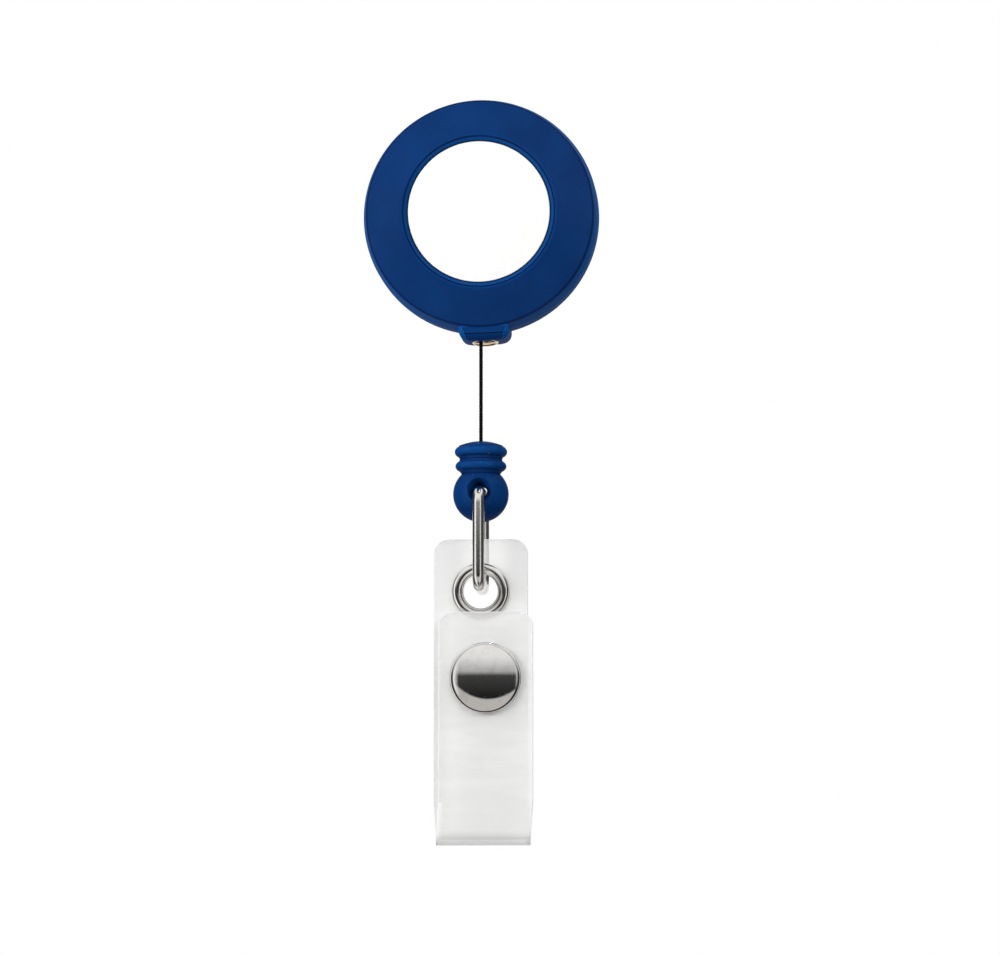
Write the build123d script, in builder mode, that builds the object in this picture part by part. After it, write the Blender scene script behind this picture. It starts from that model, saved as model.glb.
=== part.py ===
from build123d import *

import os
from math import acos, asin, atan2, cos, pi, sin, sqrt, tan

# Retractable badge reel with a belt clip and a snap strap, in millimetres.
# Frame: +Z up, the front of the reel towards -Y, +X to the right of a person who faces the reel.
# Origin: on the reel's axis, at the clip plate's face that bears on the belt.
os.makedirs("parts", exist_ok=True)

# ---------------------------------------------------------------- driving sizes
# clearances
turn_gap = 0.05  # running clearance of parts that turn on each other
rest_gap = 0.1  # air between parts that only pass each other
seam_chamfer = 0.15

# belt clip
clip_width = 12.0
clip_thickness = 0.8
clip_top = 11.0  # height where the bend begins
clip_foot = -9.0
tongue_foot = -10.5
belt_gap = 4.8  # room for the belt between plate and tongue
flare_radius = 3.0
flare_angle = 50.0
flex_gap = 0.15  # slit between the bend and the tongue, which lets the tongue spring
clip_corner = 2.0
rivet_radius = 1.0
rivet_head_radius = 2.2
rivet_head_height = 0.5
inner_head_radius = 1.6
washer_radius = 3.5
washer_thickness = 0.3

# reel housing
reel_radius = 16.0
wall = 1.3
floor_thickness = 1.2
rear_cover_depth = 2.8
band_depth = 1.2  # straight band of the front cover, in front of the seam
face_edge_inset = 0.6  # the front face's edge lies this far inside the silhouette
face_edge_rise = 3.65  # from the seam to the front face's edge
crest_rise = 5.5  # from the seam to the bezel's crest
back_edge_radius = 1.5
face_rounding = [0, 0.1, 0.2, 0.45, 0.6]  # of the front's corners, from the recess to the band
lip_thickness = 0.75
lip_height = 1.0
label_radius = 9.6
label_thickness = 0.2
label_gap = 0.15
bezel_rise = 0.35  # the bezel's crest stands this far in front of the label
bezel_slope = 0.35  # width of the bezel's inner slope
bezel_width = 0.5  # width of the bezel's crest

# nose and brass eyelet; the reel hangs turned a little, so that the cord runs straight down
# from the clip's rivet along the eyelet's left side
cord_squeeze = 0.0038  # the braid gives this much where it bears on the eyelet's foot
nose_width = 6.9
nose_side = 1.6264  # length of the nose's sides, from the reel's silhouette to the nose's foot
nose_back_inset = 0.45  # the nose's back lies this far in front of the cover's back
nose_front_inset = 0.0217  # the nose's front lies this far behind the face edge's rounding
nose_corner = 1.4
nose_chamfer = 0.55
eyelet_play = 0.6  # around the cord in the eyelet
eyelet_wall = 0.35
eyelet_flange = 0.6  # the flange's width beyond the eyelet's wall
eyelet_flange_height = 0.3
eyelet_rounding = [0.3, 0, 0, 0.1, 0.15, 0.25]  # of the eyelet's corners, from its inner lip

# spool, spring and cord
cord_diameter = 0.5
cord_depth = 0.8  # the cord runs this far in front of the seam
drum_radius = 8.2
drum_wall = 0.7
flange_thickness = 0.7
flange_gap = 0.1  # from the front flange's rim to the front cover's inner slope, along Y
spool_height = 4.3
post_radius = 2.6
post_bore = 1.75
post_slot = 0.5
spring_width = 3.0
spring_thickness = 0.15
spring_turns = 7
spring_inner_radius = 3.0
wound_turns = 15.5
wound_width = 2.6
anchor_radius = 0.7

# cord stop: the bead at the cord's end, with its sizes measured down from its top
stop_top = -30.8
rib_radius = 3.55
rib_middle = 1.46
rib_curve = 1.3  # radius of the first rib's underside
neck_radius = 2.87
neck_middle = 2.5
second_rib_radius = 3.45
second_rib_middle = 3.45
waist_middle = 4.5
ball_radius = 3.76
ball_middle = 7.2
cross_hole_middle = 6.8
cross_hole_play = 0.35  # around the wire in the cross hole
countersink_width = 1.0  # from the cross hole to where the cone leaves the ball
countersink_depth = 1.2
chamber_radius = 1.15
knot_gap = 0.07  # between the knot and the wire loop's top
knot_radius = 0.9
knot_height = 1.4
bore_gap = 0.1  # around the cord in the cord stop

# wire loop
wire_diameter = 1.6
link_height = 14.3  # outside
link_bend = 1.5  # bend radius of the wire's middle line
hook_gap = 0.03  # between the wire and what it hangs on

# vinyl strap
strap_width = 12.7
vinyl = 0.8
strap_top = -44.13
strap_foot = -85.35
flap_top = -54.15
leaf_gap = 2.4  # between the two leaves
strap_corner = 2.0
flap_shift = 0.9  # the flap is folded over a little askew, to the right
grommet_height = -51.16
grommet_radius = 3.9
grommet_bore = 2.34
grommet_wall = 0.35
grommet_flange = 0.75
grommet_roll = 0.35
grommet_rounding = [0.45, 0.45, 0.1, 0, 0, 0, 0.2, 0.2]  # of its corners, from the bore's front
grommet_washer_thickness = 0.4

# press stud
snap_height = -63.1
cap_radius = 4.8
cap_rise = 1.5
cap_rim = 0.5
cap_rounding = 0.4
cap_post_radius = 1.1
socket_radius = 4.0
socket_height = 1.55
socket_bore = 1.95
socket_floor = 0.4
stud_base_radius = 4.0
stud_base_height = 0.6
stud_radius = 1.75
stud_height = 1.25
snap_post_radius = 3.2
snap_post_flange = 0.5
snap_post_shank = 0.9

# ---------------------------------------------------------------- derived places
back_y = -(clip_thickness + washer_thickness + turn_gap)
floor_y = back_y - floor_thickness
seam_y = back_y - rear_cover_depth
face_edge_y = seam_y - face_edge_rise
crest_y = seam_y - crest_rise
label_front_y = crest_y + bezel_rise
label_back_y = label_front_y + label_thickness
front_inner_y = label_back_y + wall
cord_y = seam_y - cord_depth
cord_radius = cord_diameter / 2

recess_radius = label_radius + label_gap
crest_radius = recess_radius + bezel_slope + bezel_width
front_inner_radius = reel_radius - wall
lip_outer_radius = front_inner_radius - turn_gap
lip_inner_radius = lip_outer_radius - lip_thickness

spool_back_y = cord_y + spool_height / 2
spool_front_y = cord_y - spool_height / 2
inner_cone_y = face_edge_y + wall
inner_slope = (front_inner_radius - recess_radius) / (inner_cone_y - front_inner_y)
flange_radius = front_inner_radius - (inner_cone_y - spool_front_y + flange_gap) * inner_slope
cavity_radius = drum_radius - drum_wall
winding_radius = drum_radius + wound_turns * cord_diameter**2 / wound_width
post_tip_y = spool_front_y - 3 * rest_gap
pin_radius = post_bore - rest_gap
spring_middle_y = (spool_back_y + spool_front_y + flange_thickness) / 2
spring_back_y = spring_middle_y + spring_width / 2
spring_pitch = (cavity_radius - 2 * rest_gap - spring_inner_radius) / spring_turns
anchor_place = drum_radius + anchor_radius - 2 * rest_gap

stop_foot = stop_top - ball_middle - ball_radius
ball_z = stop_top - ball_middle
cross_hole_z = stop_top - cross_hole_middle
cross_hole_radius = wire_diameter / 2 + cross_hole_play
countersink_radius = cross_hole_radius + countersink_width
wire_top_z = cross_hole_z - cross_hole_radius + hook_gap + wire_diameter
knot_top = wire_top_z + knot_gap + knot_height
chamber_top = stop_top - turn_gap - knot_top
waist_radius = sqrt(ball_radius**2 - (ball_middle - waist_middle) ** 2)

wire_radius = wire_diameter / 2
link_leg = ball_radius + rest_gap + wire_radius  # from the cord's line to a leg's middle line
link_top_z = cross_hole_z - cross_hole_radius + wire_radius + hook_gap
link_foot_z = link_top_z + wire_diameter - link_height

back_leaf_front_y = cord_y - vinyl / 2
back_leaf_back_y = cord_y + vinyl / 2
flap_back_y = back_leaf_front_y - leaf_gap
flap_front_y = flap_back_y - vinyl
fold_y = back_leaf_front_y - leaf_gap / 2
fold_outer_radius = leaf_gap / 2 + vinyl
fold_z = strap_foot + fold_outer_radius

nose_reach = sqrt(reel_radius**2 - (nose_width / 2) ** 2) + nose_side
bore_foot = nose_reach + eyelet_flange_height - eyelet_rounding[-1]
hang_turn = asin((eyelet_play + cord_squeeze) / bore_foot)
nose_axis = Vector(sin(hang_turn), 0, -cos(hang_turn))
nose_across = Vector(cos(hang_turn), 0, sin(hang_turn))
nose_plane = Plane(origin=(0, 0, 0), x_dir=nose_across, z_dir=nose_axis)
nose_root = lip_inner_radius
nose_back = -back_y + nose_back_inset  # depths in the nose's plane grow towards the front
nose_seam = -seam_y
face_slope = atan2(crest_rise - face_edge_rise, reel_radius - face_edge_inset - crest_radius)
side_slope = atan2(face_edge_rise - band_depth, face_edge_inset)
edge_rounding_depth = face_rounding[3] * tan((side_slope - face_slope) / 2) * sin(side_slope)
nose_front = -face_edge_y - edge_rounding_depth - nose_front_inset
eyelet_bore = cord_radius + eyelet_play
eyelet_flange_radius = eyelet_bore + eyelet_wall + eyelet_flange
nose_hole_radius = eyelet_bore + eyelet_wall + turn_gap
eyelet_plane = Plane(origin=(0, cord_y, 0), x_dir=nose_across, z_dir=(0, 1, 0))
eyelet_line = Axis((0, cord_y, 0), nose_axis)

clip_outline_y = -clip_thickness / 2
tongue_y = belt_gap + clip_thickness / 2
bend_radius = (tongue_y - clip_outline_y) / 2
reel_line = Axis((0, 0, 0), (0, 1, 0))
cord_line = Axis((0, cord_y, 0), (0, 0, 1))
cord_plane = Plane.XZ.offset(-cord_y)
grommet_plane = Plane.XY.offset(grommet_height)
grommet_line = Axis((0, 0, grommet_height), (0, 1, 0))
cap_plane = Plane(origin=(flap_shift, 0, snap_height), x_dir=(1, 0, 0), z_dir=(0, 0, 1))
cap_dome_radius = (cap_radius**2 + (cap_rise - cap_rim) ** 2) / (2 * (cap_rise - cap_rim))
cap_line = Axis((flap_shift, 0, snap_height), (0, 1, 0))


def depth(y):
    """The plane that faces the front at the depth y."""
    return Plane.XZ.offset(-y)


# ---------------------------------------------------------------- belt clip
with BuildPart() as clip_plate:
    with BuildSketch(Plane.YZ):
        with BuildLine():
            clip_back = Line((clip_outline_y, clip_foot), (clip_outline_y, clip_top))
            RadiusArc(clip_back @ 1, (tongue_y, clip_top), bend_radius)
        trace(line_width=clip_thickness)
    extrude(amount=clip_width / 2, both=True)
    fillet(clip_plate.edges().filter_by(Axis.Y).sort_by(Axis.Z)[:2], clip_corner)
    with BuildSketch(depth(0)):
        Circle(rivet_radius)
    extrude(amount=clip_thickness, mode=Mode.SUBTRACT)
clip_plate.part.label = "clip_plate"
export_step(clip_plate.part, "parts/clip_plate.step")

with BuildPart() as clip_tongue:
    with BuildSketch(Plane.YZ):
        with BuildLine():
            tongue_run = Line((tongue_y, clip_top - flex_gap), (tongue_y, tongue_foot))
            JernArc(tongue_run @ 1, (0, -1), flare_radius, flare_angle)
        trace(line_width=clip_thickness)
    extrude(amount=clip_width / 2, both=True)
    tongue_end = clip_tongue.faces().filter_by(GeomType.PLANE).sort_by(Axis.Z)[0]
    fillet(tongue_end.edges().sort_by(SortBy.LENGTH)[:2], clip_corner)
clip_tongue.part.label = "clip_tongue"
export_step(clip_tongue.part, "parts/clip_tongue.step")

with BuildPart() as clip_rivet:
    with BuildSketch(depth(0)):
        Circle(rivet_head_radius)
    extrude(amount=-rivet_head_height)
    fillet(clip_rivet.edges().sort_by(Axis.Y)[-1], rivet_head_height * 0.8)
    with BuildSketch(depth(0)):
        Circle(rivet_radius)
    extrude(amount=-floor_y + turn_gap)
    with BuildSketch(depth(floor_y - turn_gap)):
        Circle(inner_head_radius)
    extrude(amount=rivet_head_height)
clip_rivet.part.label = "clip_rivet"
export_step(clip_rivet.part, "parts/clip_rivet.step")

with BuildPart() as clip_washer:
    with BuildSketch(depth(-clip_thickness)):
        Circle(washer_radius)
        Circle(rivet_radius + turn_gap, mode=Mode.SUBTRACT)
    extrude(amount=washer_thickness)
clip_washer.part.label = "clip_washer"
export_step(clip_washer.part, "parts/clip_washer.step")

# ---------------------------------------------------------------- reel housing
with BuildPart() as rear_cover:
    with BuildSketch(depth(back_y)):
        Circle(reel_radius)
    extrude(amount=rear_cover_depth)
    fillet(rear_cover.edges().sort_by(Axis.Y)[-1], back_edge_radius)
    chamfer(rear_cover.edges().sort_by(Axis.Y)[0], seam_chamfer)
    with BuildSketch(nose_plane.offset(nose_root)):
        with Locations((0, (nose_back + nose_seam) / 2)):
            Rectangle(nose_width, nose_seam - nose_back)
    extrude(amount=nose_reach - nose_root)
    fillet(rear_cover.edges().filter_by(Axis.Y).sort_by(Axis.Z)[:2], nose_corner)
    rear_nose_foot = rear_cover.faces().filter_by(GeomType.PLANE).sort_by(Axis.Z)[0]
    chamfer(rear_nose_foot.edges().sort_by(Axis.Y)[-1], nose_chamfer)
    with BuildSketch(depth(floor_y)):
        Circle(lip_inner_radius)
    extrude(amount=rear_cover_depth, mode=Mode.SUBTRACT)
    with BuildSketch(depth(seam_y)):
        Circle(lip_outer_radius)
        Circle(lip_inner_radius, mode=Mode.SUBTRACT)
    extrude(amount=lip_height)
    with BuildSketch(depth(floor_y)):
        Circle(post_radius)
    extrude(amount=floor_y - post_tip_y)
    with BuildSketch(depth(floor_y)):
        Circle(post_bore)
    extrude(amount=floor_y - post_tip_y, mode=Mode.SUBTRACT)
    with BuildSketch(depth(spring_back_y + rest_gap)):
        with Locations((post_radius, 0)):
            Rectangle(2 * (post_radius - post_bore) + rest_gap, post_slot)
    extrude(amount=spool_height, mode=Mode.SUBTRACT)
    with BuildSketch(depth(back_y)):
        Circle(rivet_radius + turn_gap)
    extrude(amount=floor_thickness, mode=Mode.SUBTRACT)
    with BuildSketch(nose_plane.offset(nose_root - lip_thickness)):
        with Locations((0, -cord_y)):
            Circle(nose_hole_radius)
    extrude(amount=nose_reach, mode=Mode.SUBTRACT)
rear_cover.part.label = "rear_cover"
export_step(rear_cover.part, "parts/rear_cover.step")

with BuildPart() as front_cover:
    with BuildSketch(Plane.XY):
        with BuildLine():
            face_line = FilletPolyline(
                (0, label_back_y),
                (recess_radius, label_back_y),
                (recess_radius + bezel_slope, crest_y),
                (crest_radius, crest_y),
                (reel_radius - face_edge_inset, face_edge_y),
                (reel_radius, seam_y - band_depth),
                (reel_radius, seam_y),
                radius=face_rounding,
            )
            Polyline(face_line @ 1, (0, seam_y), face_line @ 0)
        make_face()
    revolve(axis=reel_line)
    chamfer(front_cover.edges().filter_by(GeomType.CIRCLE).sort_by(Axis.Y)[-1], seam_chamfer)
    with BuildSketch(nose_plane.offset(nose_root)):
        with Locations((0, (nose_seam + nose_front) / 2)):
            Rectangle(nose_width, nose_front - nose_seam)
    extrude(amount=nose_reach - nose_root)
    fillet(front_cover.edges().filter_by(Axis.Y).sort_by(Axis.Z)[:2], nose_corner)
    front_nose_foot = front_cover.faces().filter_by(GeomType.PLANE).sort_by(Axis.Z)[0]
    chamfer(front_nose_foot.edges().sort_by(Axis.Y)[0], nose_chamfer)
    with BuildSketch(Plane.XY):
        with BuildLine():
            Polyline(
                (0, seam_y),
                (front_inner_radius, seam_y),
                (front_inner_radius, inner_cone_y),
                (recess_radius, front_inner_y),
                (0, front_inner_y),
                close=True,
            )
        make_face()
    revolve(axis=reel_line, mode=Mode.SUBTRACT)
    with BuildSketch(depth(floor_y - rivet_head_height - 4 * rest_gap)):
        Circle(pin_radius)
    extrude(amount=floor_y - rivet_head_height - 4 * rest_gap - front_inner_y)
    with BuildSketch(depth(spool_front_y - rest_gap)):
        Circle(post_radius + 2 * wall)
        Circle(post_radius + wall, mode=Mode.SUBTRACT)
    extrude(amount=spool_front_y - rest_gap - front_inner_y)
    with BuildSketch(nose_plane.offset(nose_root - lip_thickness)):
        with Locations((0, -cord_y)):
            Circle(nose_hole_radius)
    extrude(amount=nose_reach, mode=Mode.SUBTRACT)
front_cover.part.label = "front_cover"
export_step(front_cover.part, "parts/front_cover.step")

with BuildPart() as label_disc:
    with BuildSketch(depth(label_back_y)):
        Circle(label_radius)
    extrude(amount=label_thickness)
    fillet(label_disc.edges().sort_by(Axis.Y)[0], label_thickness / 2)
label_disc.part.label = "label_disc"
export_step(label_disc.part, "parts/label_disc.step")

with BuildPart() as cord_eyelet:
    with BuildSketch(eyelet_plane):
        with BuildLine():
            FilletPolyline(
                (eyelet_bore, nose_root - 2 * rest_gap),
                (eyelet_bore + eyelet_wall, nose_root - 2 * rest_gap),
                (eyelet_bore + eyelet_wall, nose_reach),
                (eyelet_flange_radius, nose_reach),
                (eyelet_flange_radius, nose_reach + eyelet_flange_height),
                (eyelet_bore, nose_reach + eyelet_flange_height),
                close=True,
                radius=eyelet_rounding,
            )
        make_face()
    revolve(axis=eyelet_line)
cord_eyelet.part.label = "cord_eyelet"
export_step(cord_eyelet.part, "parts/cord_eyelet.step")

# ---------------------------------------------------------------- spool, spring and winding
with BuildPart() as spool:
    with BuildSketch(depth(spool_back_y)):
        Circle(flange_radius)
    extrude(amount=spool_height)
    with BuildSketch(depth(spool_back_y - flange_thickness)):
        Circle(flange_radius)
        Circle(drum_radius, mode=Mode.SUBTRACT)
    extrude(amount=spool_height - 2 * flange_thickness, mode=Mode.SUBTRACT)
    with BuildSketch(depth(spool_back_y)):
        Circle(cavity_radius)
        with Locations((-cavity_radius, 0)):
            Rectangle(drum_wall, 4 * spring_thickness)
    extrude(amount=spool_height - flange_thickness, mode=Mode.SUBTRACT)
    with BuildSketch(depth(spool_back_y)):
        Circle(post_radius + turn_gap)
    extrude(amount=spool_height, mode=Mode.SUBTRACT)
    with BuildSketch(depth(spool_front_y)):
        with Locations((0, anchor_place)):
            Circle(anchor_radius + rest_gap)
    extrude(amount=-(flange_thickness - 2 * rest_gap), mode=Mode.SUBTRACT)
    with BuildSketch(depth(spool_front_y)):
        with Locations((0, anchor_place)):
            Circle(cord_radius)
    extrude(amount=-flange_thickness, mode=Mode.SUBTRACT)
spool.part.label = "spool"
export_step(spool.part, "parts/spool.step")

with BuildPart() as mainspring:
    with BuildSketch(depth(spring_back_y)):
        with BuildLine():
            Line((post_bore + rest_gap, 0), (spring_inner_radius, 0))
            for turn in range(spring_turns):
                start_radius = spring_inner_radius + turn * spring_pitch
                CenterArc((0, 0), start_radius, 0, 180)
                CenterArc((spring_pitch / 2, 0), start_radius + spring_pitch / 2, 180, 180)
            last_radius = spring_inner_radius + spring_turns * spring_pitch
            CenterArc((0, 0), last_radius, 0, 180)
            Line((-last_radius, 0), (-cavity_radius - rest_gap, 0))
        trace(line_width=spring_thickness)
    extrude(amount=spring_width)
mainspring.part.label = "mainspring"
export_step(mainspring.part, "parts/mainspring.step")

with BuildPart() as cord_winding:
    with BuildSketch(depth(cord_y + wound_width / 2)):
        Circle(winding_radius)
        Circle(drum_radius, mode=Mode.SUBTRACT)
    extrude(amount=wound_width)
    winding_rims = cord_winding.edges().filter_by(GeomType.CIRCLE).sort_by(SortBy.RADIUS)[-2:]
    fillet(winding_rims, cord_radius)
cord_winding.part.label = "cord_winding"
export_step(cord_winding.part, "parts/cord_winding.step")

with BuildPart() as anchor_knot:
    with BuildSketch(depth(spool_front_y + flange_thickness - 2 * rest_gap)):
        with Locations((0, anchor_place)):
            Circle(anchor_radius)
    extrude(amount=flange_thickness - rest_gap)
    fillet(anchor_knot.edges(), cord_radius / 2)
anchor_knot.part.label = "anchor_knot"
export_step(anchor_knot.part, "parts/anchor_knot.step")

# ---------------------------------------------------------------- cord and cord stop
# The cord leaves the winding along a tangent, bends over the eyelet's inner lip and runs straight
# down its left side to the knot in the cord stop.
leave_radius = winding_radius + cord_radius + turn_gap
bend_z = -(nose_root - 8 * rest_gap)
leave_angle = acos(leave_radius / -bend_z)
leave_point = (-leave_radius * sin(leave_angle), -leave_radius * cos(leave_angle))
with BuildPart() as cord:
    with BuildLine(cord_plane) as cord_route:
        FilletPolyline(leave_point, (0, bend_z), (0, knot_top), radius=2 * cord_diameter)
    with BuildSketch(Plane(cord_route.wire() @ 0, z_dir=cord_route.wire() % 0)):
        Circle(cord_radius)
    sweep(path=cord_route.wire())
cord.part.label = "cord"
export_step(cord.part, "parts/cord.step")

with BuildPart() as stop_knot:
    with BuildSketch(Plane.XY.offset(knot_top - knot_height)):
        with Locations((0, cord_y)):
            Circle(knot_radius)
    extrude(amount=knot_height)
    fillet(stop_knot.edges().filter_by(GeomType.CIRCLE), knot_radius * 0.6)
stop_knot.part.label = "stop_knot"
export_step(stop_knot.part, "parts/stop_knot.step")

with BuildPart() as cord_stop:
    with BuildSketch(cord_plane):
        with BuildLine():
            EllipticalCenterArc((0, stop_top - rib_middle), rib_radius, rib_middle, 0, arc_size=90)
            RadiusArc(
                (rib_radius, stop_top - rib_middle), (neck_radius, stop_top - neck_middle), rib_curve
            )
            ThreePointArc(
                (neck_radius, stop_top - neck_middle),
                (second_rib_radius, stop_top - second_rib_middle),
                (waist_radius, stop_top - waist_middle),
            )
            ThreePointArc(
                (waist_radius, stop_top - waist_middle),
                (ball_radius, ball_z),
                (0, stop_foot),
            )
            Line((0, stop_foot), (0, stop_top))
        make_face()
    revolve(axis=cord_line)
    with BuildSketch(Plane.XY.offset(stop_top)):
        with Locations((0, cord_y)):
            Circle(cord_radius + bore_gap)
    extrude(amount=-cross_hole_middle, mode=Mode.SUBTRACT)
    with BuildSketch(Plane.XY.offset(stop_top - chamber_top)):
        with Locations((0, cord_y)):
            Circle(chamber_radius)
    extrude(amount=-(cross_hole_middle - chamber_top), mode=Mode.SUBTRACT)
    with BuildSketch(cord_plane):
        with Locations((0, cross_hole_z)):
            Circle(cross_hole_radius)
    extrude(amount=ball_radius, both=True, mode=Mode.SUBTRACT)
    for side in (1, -1):
        with BuildSketch(depth(cord_y + side * (ball_radius + rest_gap))):
            with Locations((0, cross_hole_z)):
                Circle(countersink_radius)
        with BuildSketch(depth(cord_y + side * (ball_radius - countersink_depth))):
            with Locations((0, cross_hole_z)):
                Circle(cross_hole_radius)
        loft(mode=Mode.SUBTRACT)
cord_stop.part.label = "cord_stop"
export_step(cord_stop.part, "parts/cord_stop.step")

# ---------------------------------------------------------------- wire loop
with BuildPart() as strap_link:
    with BuildLine(Plane.YZ) as link_route:
        FilletPolyline(
            (cord_y - link_leg, link_top_z),
            (cord_y - link_leg, link_foot_z),
            (cord_y + link_leg, link_foot_z),
            (cord_y + link_leg, link_top_z),
            radius=link_bend,
            close=True,
        )
    with BuildSketch(Plane(link_route.wire() @ 0, z_dir=link_route.wire() % 0)):
        Circle(wire_radius)
    sweep(path=link_route.wire())
strap_link.part.label = "strap_link"
export_step(strap_link.part, "parts/strap_link.step")

# ---------------------------------------------------------------- vinyl strap
with BuildPart() as strap_back:
    with BuildSketch(depth(back_leaf_back_y)) as back_leaf:
        with Locations((0, (strap_top + fold_z) / 2)):
            Rectangle(strap_width, strap_top - fold_z)
        fillet(back_leaf.vertices().group_by(Axis.Y)[-1], strap_corner)
        with Locations((0, grommet_height)):
            Circle(grommet_bore + grommet_wall + turn_gap, mode=Mode.SUBTRACT)
        with Locations((flap_shift, snap_height)):
            Circle(snap_post_shank + turn_gap, mode=Mode.SUBTRACT)
    extrude(amount=vinyl)
strap_back.part.label = "strap_back"
export_step(strap_back.part, "parts/strap_back.step")

with BuildPart() as strap_fold:
    with BuildSketch(Plane.YZ.offset(flap_shift / 2)):
        with BuildLine():
            CenterArc((fold_y, fold_z), leaf_gap / 2 + vinyl / 2, 180, 180)
        trace(line_width=vinyl)
    extrude(amount=strap_width / 2, both=True)
strap_fold.part.label = "strap_fold"
export_step(strap_fold.part, "parts/strap_fold.step")

with BuildPart() as strap_flap:
    with BuildSketch(depth(flap_back_y)) as front_leaf:
        with Locations((flap_shift, (flap_top + fold_z) / 2)):
            Rectangle(strap_width, flap_top - fold_z)
        fillet(front_leaf.vertices().group_by(Axis.Y)[-1], strap_corner)
        with Locations((flap_shift, snap_height)):
            Circle(cap_post_radius + turn_gap, mode=Mode.SUBTRACT)
    extrude(amount=vinyl)
strap_flap.part.label = "strap_flap"
export_step(strap_flap.part, "parts/strap_flap.step")

with BuildPart() as grommet:
    with BuildSketch(grommet_plane):
        with BuildLine():
            FilletPolyline(
                (grommet_bore, back_leaf_front_y - grommet_flange),
                (grommet_radius, back_leaf_front_y - grommet_flange),
                (grommet_radius, back_leaf_front_y),
                (grommet_bore + grommet_wall, back_leaf_front_y),
                (grommet_bore + grommet_wall, back_leaf_back_y + grommet_washer_thickness),
                (grommet_bore + 2 * grommet_wall, back_leaf_back_y + grommet_washer_thickness),
                (
                    grommet_bore + 2 * grommet_wall,
                    back_leaf_back_y + grommet_washer_thickness + grommet_roll,
                ),
                (grommet_bore, back_leaf_back_y + grommet_washer_thickness + grommet_roll),
                close=True,
                radius=grommet_rounding,
            )
        make_face()
    revolve(axis=grommet_line)
grommet.part.label = "grommet"
export_step(grommet.part, "parts/grommet.step")

with BuildPart() as grommet_washer:
    with BuildSketch(depth(back_leaf_back_y)):
        with Locations((0, grommet_height)):
            Circle(grommet_radius)
            Circle(grommet_bore + grommet_wall + turn_gap, mode=Mode.SUBTRACT)
    extrude(amount=-grommet_washer_thickness)
    washer_rims = grommet_washer.edges().filter_by(GeomType.CIRCLE).sort_by(SortBy.RADIUS)[-2:]
    fillet(washer_rims, grommet_washer_thickness / 3)
grommet_washer.part.label = "grommet_washer"
export_step(grommet_washer.part, "parts/grommet_washer.step")

# ---------------------------------------------------------------- press stud
with BuildPart() as snap_cap:
    with BuildSketch(cap_plane):
        with BuildLine():
            cap_rim_line = Line((cap_radius, flap_front_y), (cap_radius, flap_front_y - cap_rim))
            RadiusArc(cap_rim_line @ 1, (0, flap_front_y - cap_rise), cap_dome_radius)
            Polyline(
                (0, flap_front_y - cap_rise),
                (0, flap_back_y + socket_floor),
                (cap_post_radius, flap_back_y + socket_floor),
                (cap_post_radius, flap_front_y),
                cap_rim_line @ 0,
            )
        make_face()
    revolve(axis=cap_line)
    rim_y = flap_front_y - cap_rim
    fillet(snap_cap.edges().filter_by_position(Axis.Y, rim_y, rim_y), cap_rounding)
snap_cap.part.label = "snap_cap"
export_step(snap_cap.part, "parts/snap_cap.step")

with BuildPart() as snap_socket:
    with BuildSketch(depth(flap_back_y)):
        with Locations((flap_shift, snap_height)):
            Circle(socket_radius)
    extrude(amount=-socket_height)
    fillet(snap_socket.edges().sort_by(Axis.Y)[-1], socket_height / 3)
    with BuildSketch(depth(flap_back_y + socket_floor)):
        with Locations((flap_shift, snap_height)):
            Circle(socket_bore)
    extrude(amount=-socket_height, mode=Mode.SUBTRACT)
    with BuildSketch(depth(flap_back_y)):
        with Locations((flap_shift, snap_height)):
            Circle(cap_post_radius + turn_gap)
    extrude(amount=-socket_floor, mode=Mode.SUBTRACT)
snap_socket.part.label = "snap_socket"
export_step(snap_socket.part, "parts/snap_socket.step")

with BuildPart() as snap_stud:
    with BuildSketch(depth(back_leaf_front_y)):
        with Locations((flap_shift, snap_height)):
            Circle(stud_base_radius)
    extrude(amount=stud_base_height)
    fillet(snap_stud.edges().sort_by(Axis.Y)[0], stud_base_height / 2)
    with BuildSketch(depth(back_leaf_front_y - stud_base_height)):
        with Locations((flap_shift, snap_height)):
            Circle(stud_radius)
    extrude(amount=stud_height)
    fillet(snap_stud.edges().sort_by(Axis.Y)[0], stud_radius / 3)
    with BuildSketch(depth(back_leaf_front_y)):
        with Locations((flap_shift, snap_height)):
            Circle(snap_post_shank + turn_gap)
    extrude(amount=stud_base_height, mode=Mode.SUBTRACT)
snap_stud.part.label = "snap_stud"
export_step(snap_stud.part, "parts/snap_stud.step")

with BuildPart() as snap_post:
    with BuildSketch(depth(back_leaf_back_y)):
        with Locations((flap_shift, snap_height)):
            Circle(snap_post_radius)
    extrude(amount=-snap_post_flange)
    fillet(snap_post.edges().sort_by(Axis.Y)[-1], snap_post_flange / 2)
    with BuildSketch(depth(back_leaf_back_y)):
        with Locations((flap_shift, snap_height)):
            Circle(snap_post_shank)
    extrude(amount=vinyl + stud_base_height - turn_gap)
snap_post.part.label = "snap_post"
export_step(snap_post.part, "parts/snap_post.step")

mean_winding_radius = (drum_radius + winding_radius) / 2
print("wound cord, mm:", round(wound_turns * 2 * pi * mean_winding_radius, 1))
print("mean winding radius, mm:", round(mean_winding_radius, 4))
print("cord's bend radius, mm:", 2 * cord_diameter)
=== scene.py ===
"""The looks of a retractable badge reel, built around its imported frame.

Every size is in millimetres until a mesh is finished, where it becomes metres. A place is read
from the frame wherever the frame holds it. The front of the reel looks towards -Y.
"""

from __future__ import annotations

import logging
import sys
from dataclasses import dataclass
from enum import Enum
from math import acos, atan2, ceil, cos, hypot, pi, radians, sin, sqrt, tau
from typing import Any, Callable, Sequence

import bmesh  # noqa: E402
import bpy  # noqa: E402
from mathutils import Matrix, Vector  # noqa: E402


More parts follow.
